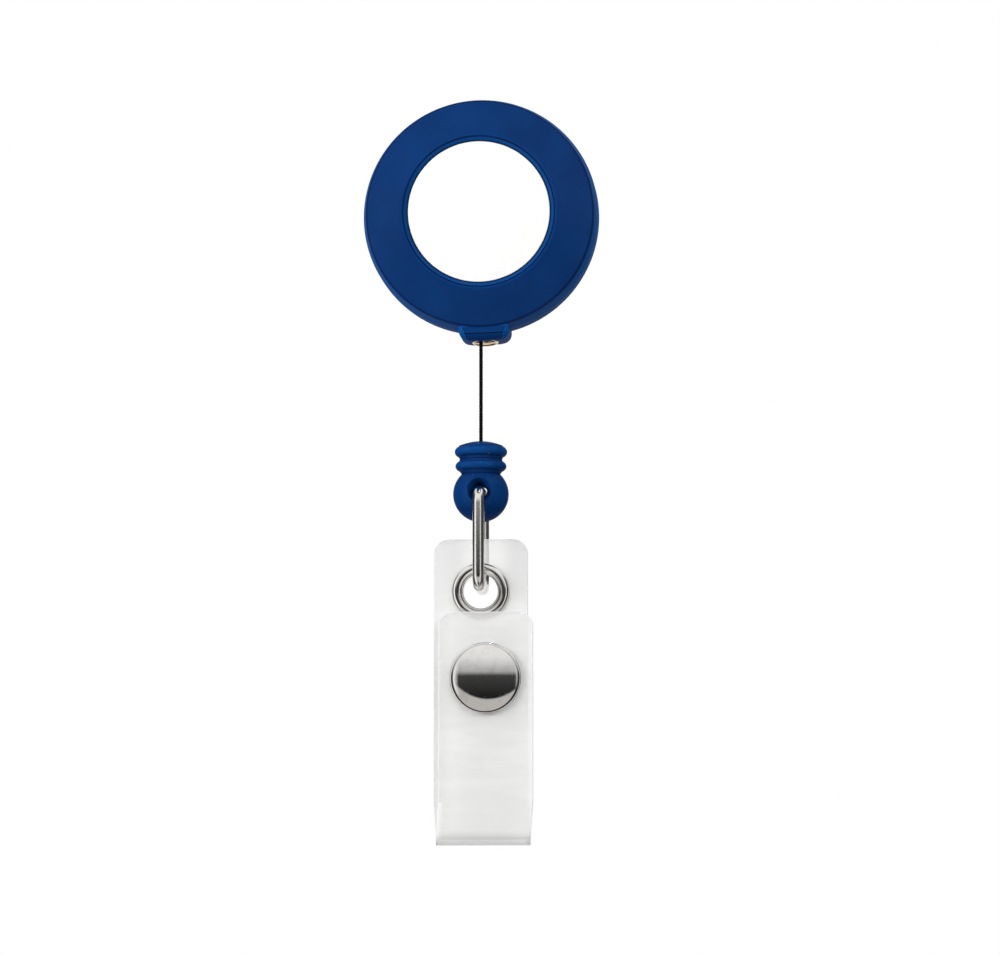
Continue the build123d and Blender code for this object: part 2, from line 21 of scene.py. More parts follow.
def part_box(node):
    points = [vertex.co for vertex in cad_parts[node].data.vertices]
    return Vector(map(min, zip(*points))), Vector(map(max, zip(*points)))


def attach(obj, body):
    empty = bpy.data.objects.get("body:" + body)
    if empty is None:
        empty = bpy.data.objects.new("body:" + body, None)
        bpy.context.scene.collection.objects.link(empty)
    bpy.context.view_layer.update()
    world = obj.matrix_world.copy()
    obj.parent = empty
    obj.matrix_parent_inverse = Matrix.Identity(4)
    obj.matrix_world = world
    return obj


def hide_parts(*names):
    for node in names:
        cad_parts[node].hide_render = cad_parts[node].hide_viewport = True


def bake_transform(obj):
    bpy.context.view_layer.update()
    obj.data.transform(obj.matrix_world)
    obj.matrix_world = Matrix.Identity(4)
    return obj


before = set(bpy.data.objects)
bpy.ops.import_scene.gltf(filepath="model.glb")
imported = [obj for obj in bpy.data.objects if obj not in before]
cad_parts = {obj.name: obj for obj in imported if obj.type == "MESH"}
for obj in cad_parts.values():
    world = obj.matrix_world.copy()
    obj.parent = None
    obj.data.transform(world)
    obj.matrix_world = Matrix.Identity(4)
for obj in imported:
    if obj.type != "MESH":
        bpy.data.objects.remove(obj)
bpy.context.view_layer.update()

MM = 0.001
FINE = 128  # segments of a large turned piece
log = logging.getLogger("badge_reel")

Point = tuple[float, float]
Ring = list[Vector]


# ---------------------------------------------------------------- shader and geometry graphs
class Wire:
    """A node's output socket, which Python's operators turn into Math nodes."""

    def __init__(self, graph: Graph, socket: bpy.types.NodeSocket) -> None:
        """Keeps the socket and the graph that it belongs to."""
        self.graph = graph
        self.socket = socket

    def math(self, operation: str, *others: Wire | float, first: bool = True) -> Wire:
        """Adds a Math node.

        Args:
            operation: the Math node's operation.
            others: the node's other values.
            first: whether this wire is the first value and not the last.

        Returns:
            The node's result.
        """
        values = [self, *others] if first else [*others, self]
        return self.graph.node("ShaderNodeMath", {"operation": operation}, dict(enumerate(values)))

    def __add__(self, other: Wire | float) -> Wire:
        """The sum."""
        return self.math("ADD", other)

    __radd__ = __add__

    def __mul__(self, other: Wire | float) -> Wire:
        """The product."""
        return self.math("MULTIPLY", other)

    __rmul__ = __mul__

    def __sub__(self, other: Wire | float) -> Wire:
        """The difference."""
        return self.math("SUBTRACT", other)

    def __rsub__(self, other: Wire | float) -> Wire:
        """The difference from a number."""
        return self.math("SUBTRACT", other, first=False)

    def __truediv__(self, other: Wire | float) -> Wire:
        """The quotient."""
        return self.math("DIVIDE", other)

    def __pow__(self, other: Wire | float) -> Wire:
        """The power."""
        return self.math("POWER", other)

    def ramp(self, low: float, high: float, start: float = 0.0, end: float = 1.0) -> Wire:
        """Maps low..high smoothly to start..end, and stays there beyond them.

        Args:
            low: the value that becomes start.
            high: the value that becomes end.
            start: the result at low.
            end: the result at high.

        Returns:
            The mapped value.
        """
        values = {"Value": self, "From Min": low, "From Max": high, "To Min": start, "To Max": end}
        return self.graph.node("ShaderNodeMapRange", {"interpolation_type": "SMOOTHSTEP"}, values)


class Graph:
    """A node tree that is filled through one method."""

    def __init__(self, tree: bpy.types.NodeTree) -> None:
        """Starts with an empty tree."""
        self.tree = tree
        tree.nodes.clear()

    def node(
        self,
        kind: str,
        settings: dict[str, Any] | None = None,
        values: dict[str | int, Any] | None = None,
        out: str | int = 0,
    ) -> Wire:
        """Adds a node: its settings first, then its values and links.

        Args:
            kind: the node's type.
            settings: its properties; "stops" holds a colour ramp's places and colours.
            values: numbers, colours or wires by the input's name or number.
            out: the output to return, by name or number.

        Returns:
            The chosen output, or an empty wire for a node that has none.
        """
        made = self.tree.nodes.new(kind)
        for name, value in (settings or {}).items():
            if name == "stops":
                self._set_stops(made.color_ramp, value)
            else:
                setattr(made, name, value)
        for name, value in (values or {}).items():
            socket = made.inputs[name]
            if isinstance(value, Wire):
                self.tree.links.new(value.socket, socket)
            else:
                socket.default_value = value
        return Wire(self, made.outputs[out] if len(made.outputs) else None)

    @staticmethod
    def _set_stops(ramp: bpy.types.ColorRamp, stops: Sequence[tuple[float, float]]) -> None:
        """Gives a colour ramp its grey stops.

        Args:
            ramp: the ramp.
            stops: pairs of place and grey.
        """
        while len(ramp.elements) < len(stops):
            ramp.elements.new(1.0)
        for element, (place, grey) in zip(ramp.elements, stops):
            element.position = place
        for element, (place, grey) in zip(ramp.elements, stops):
            element.color = (grey, grey, grey, 1.0)

    def split(self, vector: Wire) -> tuple[Wire, Wire, Wire]:
        """The X, Y and Z of a vector."""
        made = self.node("ShaderNodeSeparateXYZ", values={0: vector}).socket.node
        return tuple(Wire(self, made.outputs[axis]) for axis in "XYZ")

    def vector(self, operation: str, first: Wire, other: Wire | float) -> Wire:
        """A vector sum or product, or for SCALE a vector times a number."""
        values = {0: first, "Scale" if operation == "SCALE" else 1: other}
        return self.node("ShaderNodeVectorMath", {"operation": operation}, values)

    def place(self) -> Wire:
        """The point on the object, in millimetres."""
        return self.vector("SCALE", self.node("ShaderNodeTexCoord", out="Object"), 1 / MM)

    def stretched(self, vector: Wire, scale: Sequence[float], turn: Sequence[float] = (0, 0, 0)) -> Wire:
        """A vector turned by angles in radians and scaled along each axis."""
        return self.node("ShaderNodeMapping", values={0: vector, "Rotation": turn, "Scale": scale})

    def noise(self, vector: Wire, scale: float, detail: float = 2.0, rough: float = 0.5) -> Wire:
        """Soft noise from 0 to 1.

        Args:
            vector: where it is read.
            scale: spots per unit of the vector.
            detail: how many finer layers it has.
            rough: how strong they are.

        Returns:
            The noise.
        """
        values = {"Vector": vector, "Scale": scale, "Detail": detail, "Roughness": rough}
        return self.node("ShaderNodeTexNoise", values=values)

    def specks(self, vector: Wire, scale: float, size: float) -> Wire:
        """1 in small round spots, one in every cell of a jittered grid, and 0 elsewhere."""
        values = {"Vector": vector, "Scale": scale}
        return self.node("ShaderNodeTexVoronoi", values=values, out="Distance").ramp(size, 0.6 * size)

    def blend(self, first: Any, second: Any, factor: Wire | float) -> Wire:
        """A colour between two colours."""
        values = {0: factor, 6: first, 7: second}
        return self.node("ShaderNodeMix", {"data_type": "RGBA"}, values, out=2)

    def bump(self, height: Wire, depth: float, normal: Wire | None = None) -> Wire:
        """A normal tilted by a height.

        Args:
            height: the height, from 0 to 1.
            depth: how deep 1 stands, in millimetres.
            normal: the normal that it tilts, if not the surface's own.

        Returns:
            The tilted normal.
        """
        values = {"Height": height, "Strength": 1.0, "Distance": depth * MM}
        if normal is not None:
            values["Normal"] = normal
        return self.node("ShaderNodeBump", values=values)


def colour(red: float, green: float, blue: float) -> tuple[float, float, float, float]:
    """An opaque colour from its linear parts."""
    return (red, green, blue, 1.0)


# ---------------------------------------------------------------- finishes
@dataclass(frozen=True)
class Finish:
    """A finish, made into a material once and shared by the pieces that wear it."""

    name: str
    slot: str

    def material(self) -> bpy.types.Material:
        """The finish's material, made at its first use."""
        found = bpy.data.materials.get(self.name)
        if found is not None:
            return found
        made = bpy.data.materials.new(self.name)
        made.use_nodes = True
        graph = Graph(made.node_tree)
        graph.node("ShaderNodeOutputMaterial", values={"Surface": self.surface(graph)})
        return made

    def surface(self, graph: Graph) -> Wire:
        """The finish's shader."""
        raise NotImplementedError


@dataclass(frozen=True)
class ShellPlastic(Finish):
    """Deep blue moulded plastic with a satin skin, faint flow and a little dust."""

    deep: tuple[float, float, float, float] = colour(0.0030, 0.0290, 0.130)
    light: tuple[float, float, float, float] = colour(0.0035, 0.0350, 0.152)
    # painted highlight: a lighter blue painted where edges and rims catch the light
    painted_highlight: tuple[float, float, float, float] = colour(0.0050, 0.0800, 0.310)
    # painted shade: the dark blue painted into creases, grooves and seams
    dark: tuple[float, float, float, float] = colour(0.0040, 0.0100, 0.052)
    # dust specks on the shells, and painted glints on the bead's ribs
    dust_and_painted_glint: tuple[float, float, float, float] = colour(0.05, 0.16, 0.45)

    def tinted(self, graph: Graph, spot: Wire, base: Wire) -> Wire:
        """The base colour with painted highlights on edges and painted shade in creases, where a piece has
        them.
        """
        return base

    def surface(self, graph: Graph) -> Wire:
        """The plastic's shader."""
        spot = graph.place()
        flow = graph.noise(spot, 0.16, 3.0)
        grain = graph.noise(spot, 5.0, 2.0)
        peel = graph.noise(spot, 1.3, 1.0)
        dusty = graph.specks(spot, 0.55, 0.035)
        base = graph.blend(self.deep, self.light, flow.ramp(0.3, 0.7))
        base = self.tinted(graph, spot, base)
        base = graph.blend(base, self.dust_and_painted_glint, dusty * graph.noise(spot, 0.9, 0.0).ramp(0.55, 0.62))
        values = {
            "Base Color": base,
            "Roughness": 0.5 + 0.10 * grain + 0.06 * flow,
            "Specular IOR Level": 0.0,
            "Coat Weight": 0.07 + 0.03 * flow,
            "Coat Roughness": 0.16,
            "Normal": graph.bump(grain, 0.0035, graph.bump(peel, 0.012)),
        }
        return graph.node("ShaderNodeBsdfPrincipled", values=values)


@dataclass(frozen=True)
class ReelPlastic(ShellPlastic):
    """The shells' plastic, with painted highlights at the bezel and the rim and painted shade in its grooves
    and seams.
    """

    bezel: tuple[float, float] = (9.80, 10.16)
    groove: float = 10.27
    lip: float = 10.54
    face_edge: float = 15.38
    rim: float = 15.60
    seam: float = 3.95
    hang_turn: float = 2.0
    panel_half: float = 2.92
    panel_foot: float = 16.30

    def tinted(self, graph: Graph, spot: Wire, base: Wire) -> Wire:
        """The base colour with painted highlights on the bezel, the lip, the rim and the nose's bevel, and
        painted shade in the groove, at the face edge, along the parting line and round the nose's panel.
        """
        across, deep, up = graph.split(spot)
        reach = (across * across + up * up) ** 0.5
        inner, outer = self.bezel
        # ring, wall, lip and bevel mark where a painted highlight lightens the bezel, the rim, the lip and
        # the nose's bevel
        ring = reach.ramp(inner - 0.03, inner + 0.03) * reach.ramp(outer + 0.05, outer - 0.05)
        wall = reach.ramp(self.rim - 0.12, self.rim + 0.02)
        lip = (reach - self.lip).math("ABSOLUTE").ramp(0.09, 0.03)
        turn = radians(self.hang_turn)
        along = across * sin(turn) - up * cos(turn)
        side = (across * cos(turn) + up * sin(turn)).math("ABSOLUTE") + 0.4 * (along - self.face_edge)
        nose = deep.ramp(-6.2, -6.6) * along.ramp(self.face_edge, self.face_edge + 0.1)
        panel = nose * side.ramp(self.panel_half + 0.10, self.panel_half)
        bevel = nose * side.ramp(self.panel_half + 0.02, self.panel_half + 0.08)
        bright = (0.5 * ring + 0.3 * lip + 0.8 * wall * (1.0 - 0.75 * panel) + 0.3 * bevel).ramp(0.0, 1.0)
        base = graph.blend(base, self.painted_highlight, bright)
        # line, edge, parting, outline and foot mark painted shade in the groove, at the face edge, along the
        # parting line and round the nose's panel
        line = (reach - self.groove).math("ABSOLUTE").ramp(0.09, 0.03)
        edge = (reach - self.face_edge).math("ABSOLUTE").ramp(0.11, 0.04) * deep.ramp(-7.0, -7.3)
        parting = (deep + self.seam).math("ABSOLUTE").ramp(0.16, 0.06) * wall
        outline = (side - self.panel_half).math("ABSOLUTE").ramp(0.08, 0.03)
        foot = (along - self.panel_foot - 0.06).math("ABSOLUTE").ramp(0.10, 0.04)
        foot = foot * side.ramp(self.panel_half + 0.06, self.panel_half)
        crease_shade = 0.8 * line + 0.6 * edge + parting + nose * (0.8 * outline + 0.9 * foot)
        return graph.blend(base, self.dark, crease_shade.ramp(0.0, 1.0))


@dataclass(frozen=True)
class BeadPlastic(ShellPlastic):
    """The cord stop's plastic, with painted highlights towards its rims, painted shade in its creases and
    painted glints on its ribs.
    """

    axis: float = -4.75
    rim: tuple[float, float] = (3.0, 3.6)
    neck: float = -33.30
    collar: float = -35.30

    def tinted(self, graph: Graph, spot: Wire, base: Wire) -> Wire:
        """The base colour with a painted highlight towards the bead's rims, stronger on the ribs, painted
        shade at the neck and the collar and painted glints on the ribs.
        """
        across, deep, up = graph.split(spot)
        reach = (across * across + (deep - self.axis) ** 2.0) ** 0.5
        cloud = graph.noise(spot, 0.5, 1.0).ramp(0.3, 0.7)
        ribs = up.ramp(self.collar - 0.9, self.collar)
        # painted highlight, lighter towards the bead's outer rims and stronger on the ribs
        painted_highlight = (0.20 + 0.10 * cloud) * reach.ramp(*self.rim) * (1.0 + ribs)
        base = graph.blend(base, self.painted_highlight, painted_highlight.ramp(0.0, 1.0))
        # painted shade in the creases at the neck and the collar
        crease_shade = (up - self.neck).math("ABSOLUTE").ramp(0.12, 0.04)
        crease_shade = crease_shade + (up - self.collar).math("ABSOLUTE").ramp(0.12, 0.04)
        base = graph.blend(base, self.dark, (0.7 * crease_shade).ramp(0.0, 1.0))
        # painted glints: light specks on the ribs
        return graph.blend(base, self.dust_and_painted_glint, graph.specks(spot, 0.9, 0.09) * ribs)


@dataclass(frozen=True)
class LabelGloss(Finish):
    """White glossy label stock whose cut edge shows a cream core."""

    rim: float = 9.6
    face: tuple[float, float, float, float] = colour(0.93, 0.93, 0.925)
    core: tuple[float, float, float, float] = colour(0.74, 0.70, 0.52)

    def surface(self, graph: Graph) -> Wire:
        """The label's shader."""
        spot = graph.place()
        across, _, up = graph.split(spot)
        reach = (across * across + up * up) ** 0.5
        fibre = graph.noise(graph.stretched(spot, (1.0, 1.0, 4.0)), 1.2, 4.0)
        edge = reach.ramp(self.rim - 0.08, self.rim - 0.02)
        base = graph.blend(self.face, colour(0.90, 0.90, 0.89), fibre.ramp(0.45, 0.75))
        values = {
            "Base Color": graph.blend(base, self.core, edge),
            "Roughness": 0.22 + 0.08 * fibre + 0.3 * edge,
            "Specular IOR Level": 0.4,
            "Normal": graph.bump(fibre, 0.004),
        }
        return graph.node("ShaderNodeBsdfPrincipled", values=values)


@dataclass(frozen=True)
class PlatedMetal(Finish):
    """Polished plate with fine grain, hairline scratches and a few pits."""

    bright: tuple[float, float, float, float] = colour(0.90, 0.89, 0.87)
    dull: tuple[float, float, float, float] = colour(0.72, 0.70, 0.67)
    gloss: float = 0.05
    grain_depth: float = 0.0012
    pit_depth: float = 0.006

    def surface(self, graph: Graph) -> Wire:
        """The plate's shader."""
        spot = graph.place()
        grain = graph.noise(spot, 14.0, 3.0, 0.6)
        cloud = graph.noise(spot, 0.8, 3.0)
        turned = graph.stretched(spot, (0.7, 1.0, 7.0), (0.2, 0.9, 0.3))
        scratch = graph.noise(turned, 2.6, 2.0).ramp(0.66, 0.74)
        pits = graph.specks(spot, 1.5, 0.075) * cloud.ramp(0.42, 0.55)
        worn = cloud.ramp(0.45, 0.75)
        normal = graph.bump(grain, self.grain_depth)
        normal = graph.bump(pits + 0.10 * scratch, self.pit_depth, normal)
        values = {
            "Base Color": graph.blend(self.bright, self.dull, 0.5 * worn + 0.5 * pits),
            "Metallic": 1.0,
            "Roughness": self.gloss + 0.05 * worn + 0.10 * scratch * worn + 0.2 * pits,
            "Normal": normal,
        }
        return graph.node("ShaderNodeBsdfPrincipled", values=values)


@dataclass(frozen=True)
class BrushedSteel(Finish):
    """Nickel-plated spring steel, brushed along the strip."""

    bright: tuple[float, float, float, float] = colour(0.80, 0.79, 0.77)
    dull: tuple[float, float, float, float] = colour(0.58, 0.57, 0.55)

    def surface(self, graph: Graph) -> Wire:
        """The steel's shader."""
        spot = graph.place()
        brushed = graph.noise(graph.stretched(spot, (16.0, 1.0, 0.35)), 1.0, 3.0, 0.6)
        cloud = graph.noise(spot, 0.35, 3.0)
        values = {
            "Base Color": graph.blend(self.bright, self.dull, brushed.ramp(0.35, 0.75)),
            "Metallic": 1.0,
            "Roughness": 0.16 + 0.12 * brushed + 0.10 * cloud.ramp(0.45, 0.7),
            "Normal": graph.bump(brushed, 0.004),
        }
        return graph.node("ShaderNodeBsdfPrincipled", values=values)


@dataclass(frozen=True)
class ClearVinyl(Finish):
    """Frosted clear vinyl: half see-through, with milky flow streaks and a painted highlight, whiter and more
    opaque, along its cut edges.
    """

    milk: tuple[float, float, float, float] = colour(0.88, 0.88, 0.875)
    painted_edge_highlight: tuple[float, float, float, float] = colour(0.95, 0.95, 0.95)
    cover: float = 0.43

    def surface(self, graph: Graph) -> Wire:
        """The vinyl's shader."""
        spot = graph.place()
        streak = graph.noise(graph.stretched(spot, (0.10, 0.3, 0.45)), 1.0, 4.0)
        frost = graph.noise(spot, 9.0, 3.0)
        wave = graph.noise(spot, 0.25, 1.0)
        edge = graph.node("ShaderNodeAttribute", {"attribute_name": "cut_edge"}, out="Fac")
        base = graph.blend(self.milk, colour(0.92, 0.92, 0.915), streak.ramp(0.45, 0.7))
        values = {
            # painted highlight along the cut edges: whiter here, and more opaque in Alpha below
            "Base Color": graph.blend(base, self.painted_edge_highlight, edge),
            "Roughness": 0.30 + 0.12 * frost,
            "IOR": 1.53,
            "Specular IOR Level": 0.18,
            "Alpha": self.cover + 0.03 * streak.ramp(0.45, 0.7) + 0.35 * edge,
            "Normal": graph.bump(frost, 0.003, graph.bump(wave, 0.04)),
        }
        return graph.node("ShaderNodeBsdfPrincipled", values=values)


@dataclass(frozen=True)
class CordYarn(Finish):
    """Fine black yarn with a faint sheen."""

    yarn: tuple[float, float, float, float] = colour(0.0020, 0.0020, 0.0022)
    worn: tuple[float, float, float, float] = colour(0.0060, 0.0060, 0.0065)

    def surface(self, graph: Graph) -> Wire:
        """The yarn's shader."""
        spot = graph.place()
        fibre = graph.noise(graph.stretched(spot, (30.0, 30.0, 6.0)), 1.0, 2.0)
        values = {
            "Base Color": graph.blend(self.yarn, self.worn, fibre.ramp(0.4, 0.7)),
            "Roughness": 0.45 + 0.3 * fibre,
            "Specular IOR Level": 0.12,
            "Normal": graph.bump(fibre, 0.01),
        }
        return graph.node("ShaderNodeBsdfPrincipled", values=values)


@dataclass(frozen=True)
class DrumPlastic(Finish):
    """White moulded plastic, as it comes from the tool."""

    base: tuple[float, float, float, float] = colour(0.74, 0.74, 0.71)
    shade: tuple[float, float, float, float] = colour(0.62, 0.61, 0.57)

    def surface(self, graph: Graph) -> Wire:
        """The plastic's shader."""
        spot = graph.place()
        flow = graph.noise(spot, 0.3, 3.0)
        grain = graph.noise(spot, 6.0, 2.0)
        values = {
            "Base Color": graph.blend(self.base, self.shade, flow.ramp(0.4, 0.7)),
            "Roughness": 0.42 + 0.15 * grain,
            "Normal": graph.bump(grain, 0.006),
        }
        return graph.node("ShaderNodeBsdfPrincipled", values=values)


SHELL = ReelPlastic("shell_plastic", "blue_plastic")
BEAD = BeadPlastic("bead_plastic", "blue_plastic")
LABEL = LabelGloss("label_gloss", "white_label")
BRASS = PlatedMetal(
    "eyelet_brass",
    "brass",
    bright=colour(0.80, 0.64, 0.42),
    dull=colour(0.50, 0.37, 0.22),
    gloss=0.16,
    grain_depth=0.003,
)
NICKEL = PlatedMetal("polished_nickel", "nickel")
WIRE_NICKEL = PlatedMetal("wire_nickel", "nickel", gloss=0.11, grain_depth=0.009)
CAP_NICKEL = PlatedMetal("cap_nickel", "nickel", gloss=0.035, grain_depth=0.0008)
CLIP_STEEL = BrushedSteel("brushed_steel", "clip_steel")
VINYL = ClearVinyl("frosted_vinyl", "clear_vinyl")
YARN = CordYarn("black_yarn", "black_cord")
DRUM = DrumPlastic("drum_plastic", "white_plastic")
SPRING = BrushedSteel(
    "blued_steel", "spring_steel", bright=colour(0.28, 0.31, 0.38), dull=colour(0.16, 0.18, 0.24)
)


# ---------------------------------------------------------------- places and mesh tools
class Extent:
    """The box of one or more CAD nodes at rest, in millimetres."""

    def __init__(self, *nodes: str) -> None:
        """Reads the nodes' boxes from the frame."""
        boxes = [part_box(node) for node in nodes]
        self.low = Vector([min(low[axis] for low, _ in boxes) for axis in range(3)]) / MM
        self.high = Vector([max(high[axis] for _, high in boxes) for axis in range(3)]) / MM
        self.middle = (self.low + self.high) / 2
        self.size = self.high - self.low


class Turned(Enum):
    """The axis that a turned piece's profile grows along."""

    FRONT = "front"
    UP = "up"


def facing(middle: Vector, direction: Turned = Turned.FRONT) -> Matrix:
    """The place of a turned piece.

    Args:
        middle: a point on its axis, where its profile's height is 0.
        direction: whether its height grows towards -Y or +Z.

    Returns:
        A matrix from the profile's own axes, with the height along +Z.
    """
    turn = Matrix.Rotation(radians(90), 4, "X") if direction is Turned.FRONT else Matrix.Identity(4)
    return Matrix.Translation(middle) @ turn


def arc(middle: Point, radii: Point, start: float, end: float, steps: int) -> list[Point]:
    """Points along an elliptical arc.

    Args:
        middle: the ellipse's middle.
        radii: its half axes.
        start: the first point's angle in degrees.
        end: the last point's angle in degrees.
        steps: the number of chords.

    Returns:
        The points, both ends among them.
    """
    angles = [radians(start + (end - start) * step / steps) for step in range(steps + 1)]
    return [(middle[0] + radii[0] * cos(a), middle[1] + radii[1] * sin(a)) for a in angles]


def rounded(corners: Sequence[tuple[float, float, float]], steps: int = 6) -> list[Point]:
    """A half section whose corners are rounded.

    Args:
        corners: (radius from the axis, height, rounding radius) of each corner.
        steps: the number of chords round each corner.

    Returns:
        The section's points.
    """
    points: list[Point] = []
    for place, (x, y, radius) in enumerate(corners):
        spot = Vector((x, y))
        if radius <= 0 or place in (0, len(corners) - 1):
            points.append((x, y))
            continue
        back = (Vector(corners[place - 1][:2]) - spot).normalized()
        ahead = (Vector(corners[place + 1][:2]) - spot).normalized()
        half = acos(max(-1.0, min(1.0, back.dot(ahead)))) / 2
        middle = spot + (back + ahead).normalized() * radius / sin(half)
        first = spot + back * radius * cos(half) / sin(half) - middle
        last = spot + ahead * radius * cos(half) / sin(half) - middle
        sweep = first.angle_signed(last)
        for step in range(steps + 1):
            turned = Matrix.Rotation(-sweep * step / steps, 2) @ first + middle
            points.append((turned.x, turned.y))
    return points


def joined(mesh: bmesh.types.BMesh, rings: Sequence[list], closed: bool = False) -> None:
    """Fills the strips between neighbouring rings of vertices.

    Args:
        mesh: the mesh that holds them.
        rings: rings with the same number of vertices, or a single one for a pole.
        closed: whether the last ring joins the first.
    """
    pairs = list(zip(rings, rings[1:])) + ([(rings[-1], rings[0])] if closed else [])
    for one, two in pairs:
        count = max(len(one), len(two))
        for place in range(count):
            after = (place + 1) % count
            corners = [(one, place), (one, after), (two, after), (two, place)]
            unique = list(dict.fromkeys(ring[number % len(ring)] for ring, number in corners))
            if len(unique) > 2:
                mesh.faces.new(unique)


def turned(
    profile: Sequence[Point], place: Matrix, closed: bool = False, segments: int = FINE
) -> bmesh.types.BMesh:
    """A piece turned on a lathe.

    Args:
        profile: (radius, height) points.
        place: where the piece's own axes are.
        closed: whether the profile is a loop off the axis.
        segments: the number of segments round the axis.

    Returns:
        The mesh, in millimetres.
    """
    mesh = bmesh.new()
    rings = []
    for radius, height in profile:
        count = segments if radius > 1e-6 else 1
        angles = [tau * step / count for step in range(count)]
        rings.append(
            [mesh.verts.new(place @ Vector((radius * cos(a), radius * sin(a), height))) for a in angles]
        )
    joined(mesh, rings, closed)
    return mesh


def lofted(rings: Sequence[Ring], caps: bool = True) -> bmesh.types.BMesh:
    """A skin over rings of points.

    Args:
        rings: rings with the same number of points.
        caps: whether its ends are closed.

    Returns:
        The mesh.
    """
    mesh = bmesh.new()
    made = [[mesh.verts.new(point) for point in ring] for ring in rings]
    joined(mesh, made)
    if caps:
        mesh.faces.new(made[0])
        mesh.faces.new(made[-1])
    return mesh


def merged(meshes: Sequence[bmesh.types.BMesh]) -> bmesh.types.BMesh:
    """Several meshes as one."""
    whole = meshes[0]
    for part in meshes[1:]:
        held = bpy.data.meshes.new("part")
        part.to_mesh(held)
        part.free()
        whole.from_mesh(held)
        bpy.data.meshes.remove(held)
    return whole


def as_object(
    name: str, mesh: bmesh.types.BMesh, crease: float = 32.0, outward: bool = True
) -> bpy.types.Object:
    """Turns a mesh in millimetres into an object in metres.

    Args:
        name: the object's name.
        mesh: the mesh, which is used up.
        crease: edges sharper than this angle in degrees stay sharp.
        outward: whether the faces are turned outwards.

    Returns:
        The object, at the origin.
    """
    bmesh.ops.remove_doubles(mesh, verts=mesh.verts, dist=1e-5)
    if outward:
        bmesh.ops.recalc_face_normals(mesh, faces=mesh.faces)
    bmesh.ops.scale(mesh, vec=(MM, MM, MM), verts=mesh.verts)
    data = bpy.data.meshes.new(name)
    mesh.to_mesh(data)
    mesh.free()
    data.polygons.foreach_set("use_smooth", [True] * len(data.polygons))
    data.set_sharp_from_angle(angle=radians(crease))
    made = bpy.data.objects.new(name, data)
    bpy.context.scene.collection.objects.link(made)
    return made


def settled(made: bpy.types.Object) -> bpy.types.Object:
    """Applies an object's modifiers, so that its mesh is plain."""
    bpy.context.view_layer.update()
    graph = bpy.context.evaluated_depsgraph_get()
    plain = bpy.data.meshes.new_from_object(made.evaluated_get(graph), depsgraph=graph)
    made.modifiers.clear()
    if made.type == "MESH":
        made.data = plain
        return made
    name = made.name
    bpy.data.objects.remove(made)
    fresh = bpy.data.objects.new(name, plain)
    plain.name = name
    bpy.context.scene.collection.objects.link(fresh)
    return fresh


def cut(made: bpy.types.Object, tools: Sequence[bmesh.types.BMesh], crease: float = 32.0) -> bpy.types.Object:
    """Cuts tools out of an object.

    Args:
        made: the object to cut.
        tools: closed meshes in millimetres, which are used up.
        crease: edges sharper than this angle in degrees stay sharp.

    Returns:
        The object, with a plain mesh.
    """
    for tool in tools:
        cutter = as_object("cutter", tool)
        step = made.modifiers.new("cut", "BOOLEAN")
        step.object = cutter
        step.operation = "DIFFERENCE"
        step.solver = "EXACT"
        made = settled(made)
        bpy.data.objects.remove(cutter)
    made.data.polygons.foreach_set("use_smooth", [True] * len(made.data.polygons))
    made.data.set_sharp_from_angle(angle=radians(crease))
    return made


def dress(made: bpy.types.Object, finish: Finish, nodes: Sequence[str]) -> bpy.types.Object:
    """Gives a piece its finish and hides the CAD nodes that it stands for.

    Args:
        made: the piece.
        finish: its finish.
        nodes: the CAD nodes.

    Returns:
        The piece.
    """
    made.data.materials.clear()
    made.data.materials.append(finish.material())
    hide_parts(*nodes)
    log.info("%s: %d faces, %s", made.name, len(made.data.polygons), finish.name)
    return made


def turned_piece(
    name: str,
    profile: Sequence[Point],
    place: Matrix,
    finish: Finish,
    node: str,
    body: str,
    crease: float = 30.0,
    closed: bool = False,
    segments: int = FINE,
) -> bpy.types.Object:
    """A piece turned on a lathe, finished and put on its body.

    Args:
        name: the piece's name.
        profile: (radius, height) points.
        place: where the piece's own axes are.
        finish: its finish.
        node: the CAD node that it stands for.
        body: the body that it rides on.
        crease: edges sharper than this angle in degrees stay sharp.
        closed: whether the profile is a loop off the axis.
        segments: the number of segments round the axis.

    Returns:
        The piece.
    """
    made = as_object(name, turned(profile, place, closed, segments), crease)
    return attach(dress(made, finish, [node]), body)


def flat_ring(box: Extent, bore: float, edges: Sequence[float]) -> list[Point]:
    """The closed profile of a washer.

    Args:
        box: the washer's box.
        bore: its bore's radius.
        edges: the roundings at the bore's back, the rim's back, the rim's front and the bore's front.

    Returns:
        (radius, height) points, the height towards the front.
    """
    back, front, outer = -box.high.y, -box.low.y, box.size.x / 2
    start = (bore, (back + front) / 2, 0.0)
    spots = [(bore, back), (outer, back), (outer, front), (bore, front)]
    corners = [(radius, height, edge) for (radius, height), edge in zip(spots, edges)]
    return rounded([start, *corners, start])[:-1]


